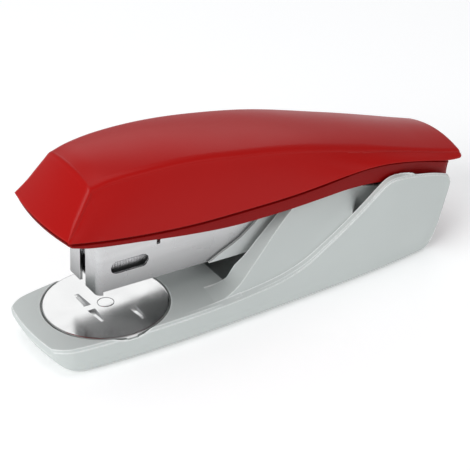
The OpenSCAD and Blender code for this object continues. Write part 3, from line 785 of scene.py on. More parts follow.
def fastener_recipe() -> Recipe:
    """Build the tree that sets one fastener at every seed point, each at its own chance turn."""
    inputs = {"Pattern": ("NodeSocketObject", None), "Direction": (VECTOR, (0.0, 0.0, 1.0)),
              "Seed": ("NodeSocketInt", 7)}
    recipe = Recipe("fasteners on points", inputs)
    given, desk = recipe.given.outputs, recipe.desk
    pattern = desk.add("GeometryNodeObjectInfo", {"Object": given["Pattern"]})
    chance = desk.add("FunctionNodeRandomValue", {"Seed": given["Seed"]}, data_type="FLOAT")
    chance.inputs[2].default_value = 0.0
    chance.inputs[3].default_value = math.tau
    spin = desk.add("FunctionNodeAxisAngleToRotation", {"Angle": chance.outputs[1]})
    aimed = desk.add("FunctionNodeAlignRotationToVector", {"Vector": given["Direction"]}, axis="Z")
    turned_head = desk.add("FunctionNodeRotateRotation", {0: aimed.outputs[0], 1: spin.outputs[0]},
                           rotation_space="LOCAL")
    feeds = {"Points": given["Geometry"], "Instance": pattern.outputs["Geometry"],
             "Rotation": turned_head.outputs[0]}
    recipe.close(desk.add("GeometryNodeInstanceOnPoints", feeds).outputs[0])
    return recipe


class Recipes:
    """The geometry node trees, each built once."""

    makers: dict[str, Callable[[], Recipe]] = {
        "coil": coil_recipe, "row": row_recipe, "wires": wire_row_recipe, "fasteners": fastener_recipe,
    }
    made: dict[str, Recipe] = {}

    @classmethod
    def get(cls, name: str) -> Recipe:
        """Return a recipe, building it on first use."""
        if name not in cls.made:
            cls.made[name] = cls.makers[name]()
        return cls.made[name]


def domed_profile(head: float, rise: float, shank: float, length: float) -> list[Point]:
    """Return the half profile of a domed head above Z = 0 with a shank below it."""
    turns = steps(0.0, math.pi / 2 - 0.12, 8)
    dome = [(head * math.cos(a), rise * 0.25 + rise * 0.75 * math.sin(a)) for a in turns]
    ring = [(shank, -length), (shank, -0.01), (head * 0.97, 0.0), (head, rise * 0.08)]
    return [(0.01, -length)] + ring + dome + [(0.01, rise)]


def cross_screw(name: str, head: float, rise: float, shank: float, length: float) -> Piece:
    """Make a screw with a domed head and a cross recess, its head standing up from Z = 0."""
    screw = turned(name, domed_profile(head, rise, shank, length), 40)
    tools = []
    for turn in (0.0, math.pi / 2):
        low, high = 0.13 * head, 0.62 * head
        slot = [(-high, -low), (high, -low), (high, low), (-high, low)]
        foot = [(x * 0.45, y * 0.8, rise * 0.35) for x, y in slot]
        top = [(x * 1.15, y * 1.1, rise * 1.4) for x, y in slot]
        tools.append(moved(loft("recess", [foot, top]), (0, 0, 0), Matrix.Rotation(turn, 3, "Z")))
    return shaded(carved(screw, tools), 35.0)


# ---------------------------------------------------------------- base


WING_EDGE = Guide(((-40, 8.8), (-20, 8.9), (-6, 9.1), (0, 9.6), (5, 10.7), (10, 12.4), (16.5, 15.9), (21, 18.5),
                   (29, 23.5), (35.6, 28), (38.5, 29.6), (42, 29.9), (50.7, 28.1), (57, 26.2), (61.9, 24.2)))
HEEL = Guide(((54.2, 0.6), (55.8, 0.95), (57.7, 2.4), (59.3, 4.9), (60.8, 8.0), (62.9, 14.4), (63.7, 18.4),
              (64.0, 21.3)))


@dataclass
class Base:
    """The moulded base with its wings, plate, sole and screws."""

    half_width: float = 19.6
    deck: float = 8.8
    wall: float = 2.2
    bevel: float = 1.1
    draft: float = 1.0
    bottom: float = 0.6
    floor: float = 3.0
    front: float = -71.0
    rear: float = 64.0
    rear_wall: float = 1.1
    pit_front: float = -12.5
    ridge_rise: float = 0.55
    crest_rise: float = 1.35
    side_lean: float = 0.5
    corner: float = 2.8
    corner_foot: float = 21.4
    chin_start: float = -62.0
    chin_run: float = 8.6
    chin_top: float = 6.3
    recess_radius: float = 18.45
    recess_depth: float = 1.3
    sole_top: float = 1.6

    def half(self, x: float) -> float:
        """Return the half width of the base at x, eased at the front corners."""
        plain = self.half_width * (1 - 0.235 * abs((x + 2) / 71) ** 3.4)
        corner = 5.2
        if x > self.front + corner:
            return plain
        share = (self.front + corner - x) / corner
        return mix(12.3, plain, math.sqrt(max(1 - share * share, 0.0)))

    def bow(self, x: float, y: float) -> float:
        """Return how far the bowed front edge lies behind its middle."""
        return 1.1 * (y / 12.3) ** 2 * (1 - ease(self.front, -60.0, x))

    def low(self, x: float) -> float:
        """Return the height of the underside at x."""
        if x < self.chin_start:
            share = min((self.chin_start - x) / self.chin_run, 1.0)
            return self.chin_top - (self.chin_top - self.bottom) * math.sqrt(1 - share * share)
        return HEEL.at(x)

    def capped(self, x: float, height: float) -> float:
        """Round a top line off at the rear end of the wings."""
        start = self.rear - self.corner
        if x <= start:
            return height
        share = min((x - start) / self.corner, 1.0)
        return mix(self.corner_foot, height, math.sqrt(1 - share ** 2.2))

    def lift(self, x: float) -> float:
        """Return the share of the wing's band that has grown out of the deck's edge at x."""
        return ease(-30.0, 2.0, x)

    def edge(self, x: float) -> float:
        """Return the height of the outer edge of the deck and the wing at x."""
        return self.capped(x, WING_EDGE.at(x)) - 0.75 * (1 - self.lift(x))

    def crest(self, x: float) -> float:
        """Return the height of the inner edge of the wing's band at x."""
        if x < -30:
            return self.deck
        rise = self.crest_rise * self.lift(x) + 0.7 * (self.wall - self.wall_at(x))
        return max(self.capped(x, WING_EDGE.at(x) + rise), self.deck)

    def wall_at(self, x: float) -> float:
        """Return the thickness of the wing at x, thinner beside the swinging tail of the handle."""
        return mix(self.wall, self.rear_wall, min(max((x - 43) / 7, 0.0), 1.0))

    def section(self, x: float) -> list[Point]:
        """Return half a cross section from the middle of the underside round to the middle of the floor.

        Args:
            x: Station along the base.

        Returns:
            Points as distance across and height.
        """
        half, low = self.half(x), self.low(x)
        outer, crest = self.edge(x), self.crest(x)
        inside = half - self.wall_at(x)
        tall = max(outer - low, 0.2)
        foot = half - self.draft * min(tall / 7.0, 1.0)
        lean = self.side_lean * min(tall / 16.0, 1.0)
        r = min(1.05, 0.42 * tall)
        across = (0.0, 0.25, 0.5, 0.75)
        points = [(t * inside, low) for t in across]
        points += [(foot - r + r * math.sin(a), low + r - r * math.cos(a)) for a in steps(0.1, math.pi / 2, 4)]
        top_side = outer - min(0.22, 0.1 * tall)
        for t in steps(0.1, 0.9, 8):
            swell = math.sin(min(t / 0.45, 1.0) * math.pi / 2)
            points.append((mix(foot, half, swell) - lean * ease(0.4, 0.9, t), mix(low + r, top_side, t)))
        brow = half - lean
        ridge = half - self.bevel
        rise = max(self.ridge_rise * self.lift(x), self.deck - outer)
        points += [(brow, top_side), (brow - 0.06, outer - 0.04), (brow - 0.2, outer + 0.02)]
        points += [(ridge + 0.12, outer + rise - 0.03), (ridge - 0.12, min(outer + rise + 0.02, crest))]
        level = self.deck if x < self.pit_front else crest
        shoulder = inside if x < self.pit_front else inside - 0.4
        points += [(shoulder, crest), (shoulder - 0.001, level)]
        points += [(t * inside, level) for t in reversed(across)]
        return points

    def stations(self) -> list[float]:
        """Return the stations along the base, close together where the form turns."""
        nose = [self.front + 9 * (i / 22) ** 2 for i in range(22)]
        body = steps(-62, 52, 76)
        heel = [self.rear - 0.06 - 11.4 * (1 - i / 26) ** 1.6 for i in range(1, 27)]
        kept = sorted(set(nose + body + heel))
        return [x for x in kept if abs(x - self.pit_front) > 0.4]

    def row(self, x: float, half: Sequence[Point]) -> list[Place]:
        """Return a section's points on the near side."""
        return [(x + self.bow(x, y), -y, z) for y, z in half]

    def shell(self) -> Piece:
        """Build the base shell: deck, pit, wings with their bevels, chin and heel."""
        edge = self.pit_front
        stations = [x for x in self.stations() if x < edge] + [edge - 0.0005, edge + 0.0005]
        stations += [x for x in self.stations() if x > edge]
        rows = []
        for x in stations:
            near = self.row(x, self.section(x))
            far = [(px, -py, pz) for px, py, pz in reversed(near[1:-1])]
            rows.append(near + far)
        places, faces = skin(rows, closed=True, capped=False)
        width = len(rows[0])
        for start in (0, len(places) - width):
            faces += self.end_faces(start, width // 2 + 1)
        body = mesh_piece("base body", places, faces)
        recess = turned("recess", [(0.01, -self.recess_depth), (self.recess_radius, -self.recess_depth),
                                   (self.recess_radius, -0.16), (self.recess_radius + 0.2, 0.06),
                                   (self.recess_radius + 0.2, 3.0), (0.01, 3.0)], 160)
        moved(recess, (ANVIL.x, 0, self.deck))
        seat = turned("seat", [(0.01, -9.0), (2.1, -9.0), (2.1, 0.0), (0.01, 0.0)], 32)
        moved(seat, (ANVIL.x, 0, self.deck))
        hollow = self.hollow()
        carved(body, [self.channel(), recess, seat, hollow])
        body.name = "base_body"
        return shaded(body, 24.0)

    def outline(self, inset: float, front: float, rear: float) -> list[Point]:
        """Return the base's outline seen from above, drawn in by inset, between two stations."""
        side = [(x, self.half(x) - inset) for x in steps(front, rear, 30)]
        return side + [(x, -y) for x, y in reversed(side)]

    def end_faces(self, start: int, count: int) -> list[list[int]]:
        """Return the faces that close an end of the base, in strips from the underside to the top.

        Args:
            start: Number of the end row's first corner.
            count: Number of corners in half the row, with both middle ones.

        Returns:
            The corner numbers of each face.
        """
        faces, strips, width = [], 3, 2 * count - 2
        for far in (False, True):
            corner = [start + ((width - k) % width if far else k) for k in range(count)]
            for k in range(strips):
                faces.append([corner[k], corner[k + 1], corner[count - 2 - k], corner[count - 1 - k]])
            faces.append(corner[strips:count - strips])
        return faces

    def channel(self) -> Piece:
        """Build the tool for the space between the wings."""
        front = self.pit_front - 0.05
        side = [(x, self.half(x) - self.wall_at(x)) for x in steps(front, 66.0, 60)]
        edge = side + [(x, -y) for x, y in reversed(side)]
        return loft("channel", [[(x, y, z) for x, y in edge] for z in (self.floor, 36.0)])

    def hollow(self) -> Piece:
        """Build the hollow under the deck as a tool."""
        edge = self.outline(2.9, -59.0, -15.0)
        rows = [[(x, y, z) for x, y in edge] for z in (-1.0, 6.6)]
        return loft("hollow", rows)

    def sole(self) -> Piece:
        """Build the rubber sole with a rounded edge and a row of grip ribs across it."""
        rows = []
        for inset, z in ((3.6, 0.42), (3.2, 0.5), (3.05, 0.7), (3.0, 1.0), (3.0, self.sole_top)):
            rows.append([(x, y, z) for x, y in self.outline(inset, -60.0 + inset - 3.0, 54.0 - inset + 3.0)])
        pad = shaded(loft("pad", rows), 40.0)
        count, pitch = 36, 3.1
        width, crest = 12.6, 0.55
        bar = [[(x * 0.62, y, 0.0), (x * 0.9, y, crest * 0.35), (x, y, crest)]
               for x, y in ((-crest, 0.0), (crest, 0.0))]
        loop = bar[0] + list(reversed(bar[1]))
        rib = loft("rib", [[(x, y * k, z) for x, _, z in loop] for k, y in ((-1, width), (1, width))])
        moved(rib, (-57.0, 0, 0))
        ribs = Recipes.get("row").bake("ribs", rib, SOLE_RUBBER, {"Count": count, "Step": (pitch * MM, 0.0, 0.0)})
        return joined("sole", [pad, ribs])

    def build(self) -> None:
        """Build and mount every piece of the base."""
        mounted(self.shell(), Body.BASE, "base_plastic", GREY_BASE, ["base_shell"])
        mounted(self.sole(), Body.BASE, "sole_rubber", SOLE_RUBBER, ["sole_pad"])
        mounted_copy("anvil_plate_under", "base_plate", Body.BASE, "dark_steel", OILED_STEEL, 0.12)
        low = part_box("plate_screws")[0]
        screw = cross_screw("plate screw", 2.0, 1.0, 1.1, 2.6)
        moved(screw, (0, 0, 0), Matrix.Rotation(math.pi, 3, "X"))
        level = low[2] / MM + 1.0
        places = [(-24, 8, level), (-24, -8, level)]
        self.screws("plate_screw_set", screw, places, "plate_screws")
        screw = cross_screw("cheek screw", 2.7, 1.5, 1.5, 2.5)
        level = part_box("cheek_screws")[1][2] / MM - 1.5
        places = [(30, 0, level), (42, 7, level), (42, -7, level)]
        self.screws("cheek_screw_set", screw, places, "cheek_screws")

    def screws(self, name: str, pattern: Piece, places: Sequence[Place], node: str) -> None:
        """Set screws at their places and mount them as one piece."""
        values = {"Pattern": pattern, "Direction": (0.0, 0.0, 1.0), "Seed": 11}
        made = Recipes.get("fasteners").bake(name, seed_of(places), SCREW_STEEL, values)
        bpy.data.objects.remove(pattern)
        mounted(shaded(made, 35.0), Body.BASE, "screw_steel", SCREW_STEEL, [node])


@dataclass
class Hinge:
    """The hinge cheeks inside the wings, the pivot pin with its rings and the return spring."""

    base: Base
    inner: float = 11.6
    outer: float = 13.0
    front_outer: float = 14.2
    floor: float = 3.0
    peak: float = 29.6
    rear: float = 56.6
    paired: int = 39
    levels: tuple[float, ...] = (3.0, 8.2, 8.5, 8.75, 9.0, 9.25, 9.6, 10.1, 10.8, 11.8, 13.2, 15.0, 17.0, 19.0,
                                 21.0, 23.0, 25.0, 27.0, 28.6, 29.3, 29.6)
    inner_front: Guide = Guide(((8.5, -22.5), (8.9, -18.2), (9.3, -15.6), (10.5, -12.9), (12.0, -12.1),
                                (15.0, -10.6), (17.8, -6.9), (20.5, -4.2), (23.0, -1.4), (25.7, 1.6),
                                (29.6, 6.2)))
    inner_side: Guide = Guide(((8.5, 7.6), (8.9, 8.6), (9.3, 9.2), (10.5, 10.0), (12.0, 10.6), (15.0, 11.3),
                               (18.0, 11.6), (29.6, 11.6)))
    outer_front: Guide = Guide(((8.5, -23.5), (8.9, -20.0), (9.4, -17.3), (11.7, -12.2), (14.7, -8.4),
                                (18.0, -4.5), (21.7, -0.7), (25.1, 2.7), (28.1, 5.8), (29.6, 7.4)))
    top: Guide = Guide(((-25, 29.6), (10, 29.6), (18, 29.8), (28, 29.4), (36, 27.4), (43, 25), (51.5, 24.2),
                        (57, 22.4)))

    def face(self, x: float, z: float) -> float:
        """Return how far out a cheek's outer face lies.

        The face leaves the wing along its inner line and draws in above it in a hollow curve.

        Args:
            x: Station along the base.
            z: Height above the floor.

        Returns:
            Distance from the middle plane in millimetres.
        """
        wing = self.base.half(x) - self.base.wall_at(x) - 0.02
        line = self.base.crest(x) - 0.2
        share = min(max((z - line) / (self.peak - line), 0.0), 1.0)
        flared = mix(self.front_outer, wing, (1 - share) ** 2.3)
        return mix(flared, self.outer, ease(26.0, 31.0, x))

    def level(self, height: float) -> list[Place]:
        """Return one level of a cheek as a loop: inner face forward, front band, outer face back."""
        share = (height - self.floor) / (self.peak - self.floor)
        on_deck = height > self.base.deck - 0.5
        inner_x = self.inner_front.at(height) if on_deck else -12.4
        inner_y = self.inner_side.at(height) if on_deck else self.inner
        outer_x = self.outer_front.at(height) if on_deck else -12.3

        def at(x: float, y: float | None = None) -> Place:
            """Return the place on this level at x, on the outer face unless y is given."""
            z = mix(self.floor, self.top.at(x), share)
            return (x, self.face(x, z) if y is None else y, z)

        back = [at(x, self.inner) for x in steps(self.rear, inner_x + 6.0, 36)]
        back += [at(inner_x + 2.5, mix(self.inner, inner_y, 0.55)), at(inner_x, inner_y)]
        tip = at(outer_x)
        band = [at(mix(inner_x, outer_x, t), mix(inner_y, tip[1], t)) for t in (0.2, 0.4, 0.6, 0.8, 0.93)]
        face = [at(x) for x in [outer_x, outer_x + 0.45] + steps(outer_x + 1.6, self.rear, 36)]
        return back + band + face

    def cheek(self, side: int) -> Piece:
        """Build one cheek as a stack of levels.

        Args:
            side: 1 for the near side, -1 for the far side.

        Returns:
            The cheek as a solid.
        """
        rows = [[(x, -side * y, z) for x, y, z in self.level(h)] for h in self.levels]
        points, faces = skin(rows, closed=True, capped=False)
        width, count = len(rows[0]), self.paired
        for start in (0, (len(rows) - 1) * width):
            for k in range(count - 1):
                faces.append([start + k, start + k + 1, start + width - 2 - k, start + width - 1 - k])
            faces.append([start + k for k in range(count - 1, width - count + 1)])
        return mesh_piece("cheek", points, faces)

    def build(self) -> None:
        """Build and mount the cheeks, the pin, its rings and the return spring."""
        web_low, web_high = 3.0, 4.2
        corners = [(22.0, -12.5), (52.0, -12.5), (52.0, 12.5), (22.0, 12.5)]
        web = loft("web", [[(x, y, z) for x, y in corners] for z in (web_low, web_high)])
        cheeks = joined("hinge_cheek_pair", [self.cheek(1), self.cheek(-1), web])
        mounted(shaded(cheeks, 28.0), Body.BASE, "cheek_plastic", GREY_CHEEK, ["hinge_cheeks"])
        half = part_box("pivot_pin")[1][1] / MM
        profile = [(0.01, -half), (1.7, -half), (2.0, -half + 0.3), (2.0, half - 0.3), (1.7, half), (0.01, half)]
        pin = moved(turned("main_pin", profile, 40), tuple(PIVOT), Matrix.Rotation(math.pi / 2, 3, "X"))
        mounted(shaded(pin, 30.0), Body.BASE, "pin_steel", PIN_STEEL, ["pivot_pin"])
        mounted_copy("pin_ring_pair", "pin_rings", Body.BASE, "dark_steel", OILED_STEEL, 0.1)
        low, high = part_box("return_spring")
        wire = 0.45 * MM
        radius = (high[0] - low[0]) / 2 - wire
        values = {"Radius": radius, "Wire": wire, "Height": high[2] - low[2] - 2 * wire, "Turns": 6.0}
        spring = Recipes.get("coil").bake("lift_spring", seed_of([(0, 0, 0)]), SPRING_STEEL, values)
        middle = ((low[0] + high[0]) / 2 / MM, 0.0, (low[2] + wire) / MM)
        mounted(moved(spring, middle), Body.BASE, "spring_steel", SPRING_STEEL, ["return_spring"])
        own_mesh(spring)


# ---------------------------------------------------------------- anvil


@dataclass
class Anvil:
    """The turning anvil disc with its clinch pockets, stud, washer and ring."""

    radius: float = 18.0
    thickness: float = 1.2
    offset: float = 5.2
    stud: float = 2.35
    pocket_half: float = 1.15

    def pocket(self, x: float, side: int, inner: float, outer: float) -> Piece:
        """Build the tool for one clinch pocket: deep at its inner end, running out at the other.

        Args:
            x: Place of the pocket along the stapler from the disc centre.
            side: 1 or -1 across the middle.
            inner: Distance of its deep end from the middle.
            outer: Distance of its shallow end from the middle.

        Returns:
            The tool solid, above the disc's top face as well.
        """
        rows = []
        for t in steps(0.0, 1.0, 10):
            y = side * mix(inner, outer, t)
            depth = mix(1.05, 0.12, t ** 0.8)
            wide = self.pocket_half * mix(1.0, 0.62, t)
            rows.append([(x - wide * 1.15, y, 0.3), (x - wide, y, -0.05), (x - wide * 0.45, y, -depth),
                         (x + wide * 0.45, y, -depth), (x + wide, y, -0.05), (x + wide * 1.15, y, 0.3)])
        return loft("pocket", rows)

    def plate(self) -> Piece:
        """Build the disc as a ring, cut its pockets and put it in its place."""
        r, t, s = self.radius, self.thickness, self.stud + 0.03
        profile = [(s, -t), (r - 0.2, -t), (r, -t + 0.2), (r, -0.32), (r - 0.09, -0.1), (r - 0.3, -0.015),
                   (r - 0.6, 0.0), (s + 0.12, 0.0), (s, -0.1)]
        sides = 180
        rows = []
        for k in range(sides):
            a = math.tau * k / sides
            rows.append([(q * math.cos(a), q * math.sin(a), z) for q, z in profile])
        points, faces = skin(rows + rows[:1], closed=True, capped=False)
        disc = mesh_piece("turning_disc", points, faces)
        tools = [self.pocket(-self.offset, side, 1.1, 8.0) for side in (1, -1)]
        tools += [self.pocket(self.offset, side, 5.7, 12.8) for side in (1, -1)]
        carved(disc, tools)
        return shaded(moved(disc, tuple(ANVIL)), 22.0)

    def washer(self) -> Piece:
        """Build the wave washer under the base plate, three waves round."""
        low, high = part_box("anvil_spring")
        bottom, top = low[2] / MM, high[2] / MM
        sheet, inner, outer = 0.3, 2.2, 4.7
        middle, rise = (bottom + top) / 2, (top - bottom - sheet) / 2
        rows = []
        for k in range(72):
            a = math.tau * k / 72
            z = middle + rise * math.sin(3 * a)
            below, above = z - sheet / 2, z + sheet / 2
            loop = ((inner, below), (outer, below), (outer, above), (inner, above))
            rows.append([(ANVIL.x + r * math.cos(a), r * math.sin(a), h) for r, h in loop])
        points, faces = skin(rows + rows[:1], closed=True, capped=False)
        return shaded(mesh_piece("wave_washer", points, faces))

    def build(self) -> None:
        """Build and mount the disc, its stud, the wave washer and the retaining ring."""
        mounted(self.plate(), Body.ANVIL, "anvil_chrome", POLISHED, ["anvil_disc"])
        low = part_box("anvil_stud")[0][2] / MM - ANVIL.z
        s = self.stud
        profile = [(0.01, low), (1.75, low), (1.98, low + 0.25), (1.98, -1.2), (s - 0.02, -1.2), (s - 0.02, -0.1),
                   (s - 0.14, -0.02), (s - 0.4, 0.0), (0.3, -0.01), (0.01, -0.02)]
        stud = moved(turned("disc_stud", profile, 64), tuple(ANVIL))
        mounted(shaded(stud, 24.0), Body.ANVIL, "anvil_chrome", POLISHED, ["anvil_stud"])
        mounted(self.washer(), Body.ANVIL, "spring_steel", SPRING_STEEL, ["anvil_spring"])
        mounted_copy("stud_ring", "anvil_ring", Body.ANVIL, "dark_steel", OILED_STEEL, 0.1)


# ---------------------------------------------------------------- magazine


@dataclass
class Magazine:
    """The staple arm, its sleeve, rivets, rail, rod, staples, pusher and pusher spring."""

    crown: float = 12.9
    leg: float = 6.45
    wire: float = 0.5
    strip_front: float = -102.75
    strip_bottom: float = -3.55
    count: int = 100

    def staples(self) -> Piece:
        """Build the half strip, one bent wire after another along the arm."""
        half = self.crown / 2 - self.wire / 2
        top = self.strip_bottom + self.leg - 0.22
        path = [(0.25, -half, self.strip_bottom), (0.25, -half, top), (0.25, half, top),
                (0.25, half, self.strip_bottom)]
        seed = seed_of(path, [(0, 1), (1, 2), (2, 3)])
        pitch = 50.0 / self.count
        values = {"Count": self.count, "Step": (pitch * MM, 0.0, 0.0), "Bend": 0.55 * MM, "Width": 0.44 * MM,
                  "Height": 0.43 * MM}
        strip = Recipes.get("wires").bake("staples", seed, STAPLE_WIRE, values)
        tilt = Matrix.Rotation(ARM_TILT, 3, "Y")
        return moved(strip, arm_place(self.strip_front, 0, 0), tilt)

    def rivets(self) -> Piece:
        """Build the four domed rivets that hold the sleeve on the arm."""
        pattern = shaded(turned("rivet", domed_profile(2.0, 0.42, 1.45, 1.7), 32), 35.0)
        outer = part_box("arm_rivets")[1][1] / MM - 0.02
        sides = []
        for side in (1, -1):
            places = [arm_place(u, side * outer, -0.5) for u in (-40, -14)]
            values = {"Pattern": pattern, "Direction": (0.0, float(side), 0.0), "Seed": 5}
            sides.append(Recipes.get("fasteners").bake("side", seed_of(places), PIN_STEEL, values))
        bpy.data.objects.remove(pattern)
        return shaded(joined("sleeve_rivets", sides), 35.0)

    def build(self) -> None:
        """Build and mount every piece that moves with the magazine, and the pusher."""
        body = Body.MAGAZINE
        mounted_copy("staple_arm", "magazine_arm", body, "arm_nickel", NICKEL_ARM, 0.16, 3, 30.0)
        mounted_copy("arm_sleeve", "magazine_sleeve", body, "sleeve_plastic", GREY_SLEEVE, 0.18, 2, 30.0)
        mounted(self.rivets(), Body.MAGAZINE, "pin_steel", PIN_STEEL, ["arm_rivets"])
        mounted(self.staples(), Body.MAGAZINE, "staple_wire", STAPLE_WIRE, ["staple_strip"])
        for name, node, slot, finish, width in (
            ("inner_rail", "staple_rail", "rail_steel", HARD_STEEL, 0.15),
            ("slide_rod", "guide_rod", "pin_steel", PIN_STEEL, 0.12),
            ("slide_rod_nut", "rod_nut", "dark_steel", OILED_STEEL, 0.1),
        ):
            mounted_copy(name, node, body, slot, finish, width)
        mounted_copy("staple_pusher", "pusher", Body.PUSHER, "pusher_plastic", BLACK_PUSHER, 0.2, 3)
        self.pusher_spring()

    def pusher_spring(self) -> None:
        """Build the small spring on the guide rod and mount it."""
        low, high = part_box("pusher_spring")
        wire, radius = 0.2, 1.35
        length = ((high[0] - low[0]) / MM - 2 * wire) / math.cos(ARM_TILT) - 0.1
        values = {"Radius": radius * MM, "Wire": wire * MM, "Height": length * MM, "Turns": 20.0}
        spring = Recipes.get("coil").bake("rod_spring", seed_of([(0, 0, 0)]), SPRING_STEEL, values)
        front = (low[0] / MM + wire - PIVOT.x) / math.cos(ARM_TILT)
        turn = Matrix.Rotation(math.pi / 2 + ARM_TILT, 3, "Y")
        moved(spring, arm_place(front, 0, -0.9), turn)
        mounted(spring, Body.MAGAZINE, "spring_steel", SPRING_STEEL, ["pusher_spring"])
        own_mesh(spring)


# ---------------------------------------------------------------- handle


CREASE = Guide(((-55, 54.2), (-50, 55.3), (-41, 55.7), (-27, 55), (-11, 52.6), (9.5, 48.3), (31, 41.9), (54, 34.3),
                (69.5, 28.9)))
CREASE_HALF = Guide(((-55, 12.3), (-41, 13.7), (-27, 14.2), (-11, 14.7), (9.5, 14.6), (31, 14), (54, 13.2),
                     (69.5, 12.4)))
RIM = Guide(((-64.3, 42.3), (-53, 40.2), (-40, 38.4), (-27, 37.1), (-14, 36.5), (6, 36), (27, 36.6), (36, 36.1),
             (44.4, 34.5), (55, 31.4), (64, 28.2), (69.5, 26.8)))
FRAME_EDGE = Guide(((-64.3, 40.6), (-58, 38.7), (-42.4, 36.1), (-28.6, 33.8), (-14, 32), (4, 31.3), (21.6, 31.3),
                    (30, 30.7), (36, 29.8), (44, 27.6), (50, 26), (56.5, 24), (61, 22.6), (64, 22)))
BOW = Guide(((-64.3, -1.8), (-55, -0.9), (-44, 0), (56, 0), (69.5, 1.5)))
FRAME_INSET = Guide(((-64.3, 0.5), (15, 0.5), (30, 1.1), (44, 1.4), (52, 1.7), (64, 1.2)))


def rim_half(x: float) -> float:
    """Return the half width of the cover's lower rim at x."""
    return 17.6 - 1.6 * abs((x - 2) / 66) ** 3 if x < 2 else 17.6 - 4.4 * ((x - 2) / 68) ** 4


@dataclass
class Handle:
    """The press cover, the frame under it, the press lever, the blade, the leaf spring and their fasteners."""

    wall: float = 2.2
    crown: float = 1.8
    nose: float = -64.3
    facet_end: float = -55.0
    tail: float = 69.5
    side_bulge: float = 1.6
    crease_round: float = 2.2
    frame_wall: float = 1.6
    ledge: float = 2.4
    screw_places: tuple[Point, ...] = ((-77, 13.2), (-6.6, 7.2))
    lever_slope: float = 8.15
    lever_rear: Point = (46.0, 31.5)

    def cover_half(self, x: float, inset: float) -> list[Point]:
        """Return half a cover section from the rim to the middle of the top.

        Args:
            x: Station along the cover.
            inset: Distance inside the outer skin.

        Returns:
            Points as distance across and height.
        """
        t = (x - self.nose) / (self.facet_end - self.nose)
        past = ease(self.facet_end - 0.9, self.facet_end + 0.9, x)
        crease_y = mix(mix(15.6, 12.3, t), CREASE_HALF.at(x), past) - inset
        crease_z = mix(mix(42.6, 54.2, t), CREASE.at(x), past) - inset
        rim_y, rim_z = rim_half(x) - inset, RIM.at(x)
        share = min(t, 1.0)
        crown = self.crown * share
        tall = crease_z - rim_z
        r = min(self.crease_round, max(tall * 0.45, 0.05))
        side_z = max(crease_z - r * 0.75, rim_z + 0.02)
        points = []
        for q in steps(0.0, 1.0, 8)[:-1]:
            bulge = self.side_bulge * share * q * (1 - q)
            points.append((mix(rim_y, crease_y, q) + bulge, mix(rim_z, side_z, q)))
        top_y = crease_y - r
        top_z = max(crease_z, rim_z + 0.04)
        end_z = top_z + crown * (1 - (top_y / crease_y) ** 2)
        for q in steps(0.0, 1.0, 8)[:-1]:
            a, b, c = (1 - q) ** 2, 2 * q * (1 - q), q * q
            points.append((a * crease_y + b * crease_y + c * top_y, a * side_z + b * top_z + c * end_z))
        for s in steps(top_y, 0.0, 9):
            points.append((s, top_z + crown * (1 - (s / crease_y) ** 2)))
        return points

    def arch(self, x: float, inset: float) -> list[Place]:
        """Return a whole cover section over the top, from the near rim to the far rim."""
        half = self.cover_half(x, inset)

        def bowed(y: float) -> float:
            """Return the station at a distance across, bent by the bow."""
            return x + BOW.at(x) * (1 - (y / 17.6) ** 2)

        near = [(bowed(y), -y, z) for y, z in half]
        far = [(bowed(y), y, z) for y, z in reversed(half[:-1])]
        return near + far

    def cover_shell(self) -> Piece:
        """Build the press cover: the faceted nose, rounded side creases, crowned top and inner skin."""
        nose = [self.nose + d for d in (0.0, 0.25, 0.6, 1.2, 2.2, 3.6, 5.2, 6.8, 7.9)]
        turn = steps(self.facet_end - 0.9, self.facet_end + 0.9, 9)
        body = steps(self.facet_end + 2.0, 64.5, 96)
        tail = [65.6, 66.6, 67.4, 68.2]
        tail += [self.tail - 1.3 * (1 - math.sin(a)) for a in steps(0.15, math.pi / 2, 8)]
        stations = nose + turn + body + tail
        rows = []
        for x in stations:
            inside = min(max(x, -61.4), 67.2)
            drop = self.tail_round(x)
            middle = (RIM.at(x) + CREASE.at(x)) / 2
            outer = [(px, py * drop[0], mix(middle, pz, drop[1])) for px, py, pz in self.arch(x, 0.0)]
            inner = self.arch(inside, self.wall)
            rows.append(outer + list(reversed(inner)))
        width = len(rows[0])
        points, faces = skin(rows, closed=True, capped=False)
        last = (len(rows) - 1) * width
        for j in range(width // 2 - 1):
            faces.append([j, width - 1 - j, width - 2 - j, j + 1])
            faces.append([last + j + 1, last + width - 2 - j, last + width - 1 - j, last + j])
        shell = mesh_piece("cover", points, faces)
        return rounded(shell, 0.35, 3, 50.0)

    def tail_round(self, x: float) -> tuple[float, float]:
        """Return how much the tail's width and height draw in near its end."""
        share = min(max((x - self.tail + 1.3) / 1.3, 0.0), 1.0)
        round_off = 1 - math.sqrt(1 - share * share)
        return 1 - 0.05 * round_off, 1 - 0.62 * round_off

    def bosses(self) -> list[Piece]:
        """Build the screw bosses inside the cover."""
        tilt = Matrix.Rotation(math.radians(self.lever_slope), 3, "Y")
        made = []
        for along, height in self.screw_places:
            profile = [(1.35, 5.4), (1.35, 0.2), (1.6, 0.05), (2.9, 0.05), (3.2, 0.35), (3.2, height),
                       (0.01, height), (0.01, 5.4)]
            boss = turned("boss", profile, 40)
            made.append(moved(boss, self.lever_place(along, 0, 0), tilt))
        return made

    def lever_place(self, u: float, y: float, w: float) -> Place:
        """Turn a place on the lever's top plate into the stapler's frame."""
        a = math.radians(self.lever_slope)
        rear_x, rear_z = self.lever_rear
        return (rear_x + u * math.cos(a) + w * math.sin(a), y, rear_z - u * math.sin(a) + w * math.cos(a))

    def frame_half(self, x: float) -> float:
        """Return the half width of the cover frame at x."""
        return rim_half(x) - FRAME_INSET.at(x)

    def frame_section(self, x: float, y: float, inward: Point, lean: float = 0.0) -> list[Place]:
        """Return the frame's section at a point of its route, with the groove under the cover's rim."""
        low, rim = FRAME_EDGE.at(x), RIM.at(x) - 0.1

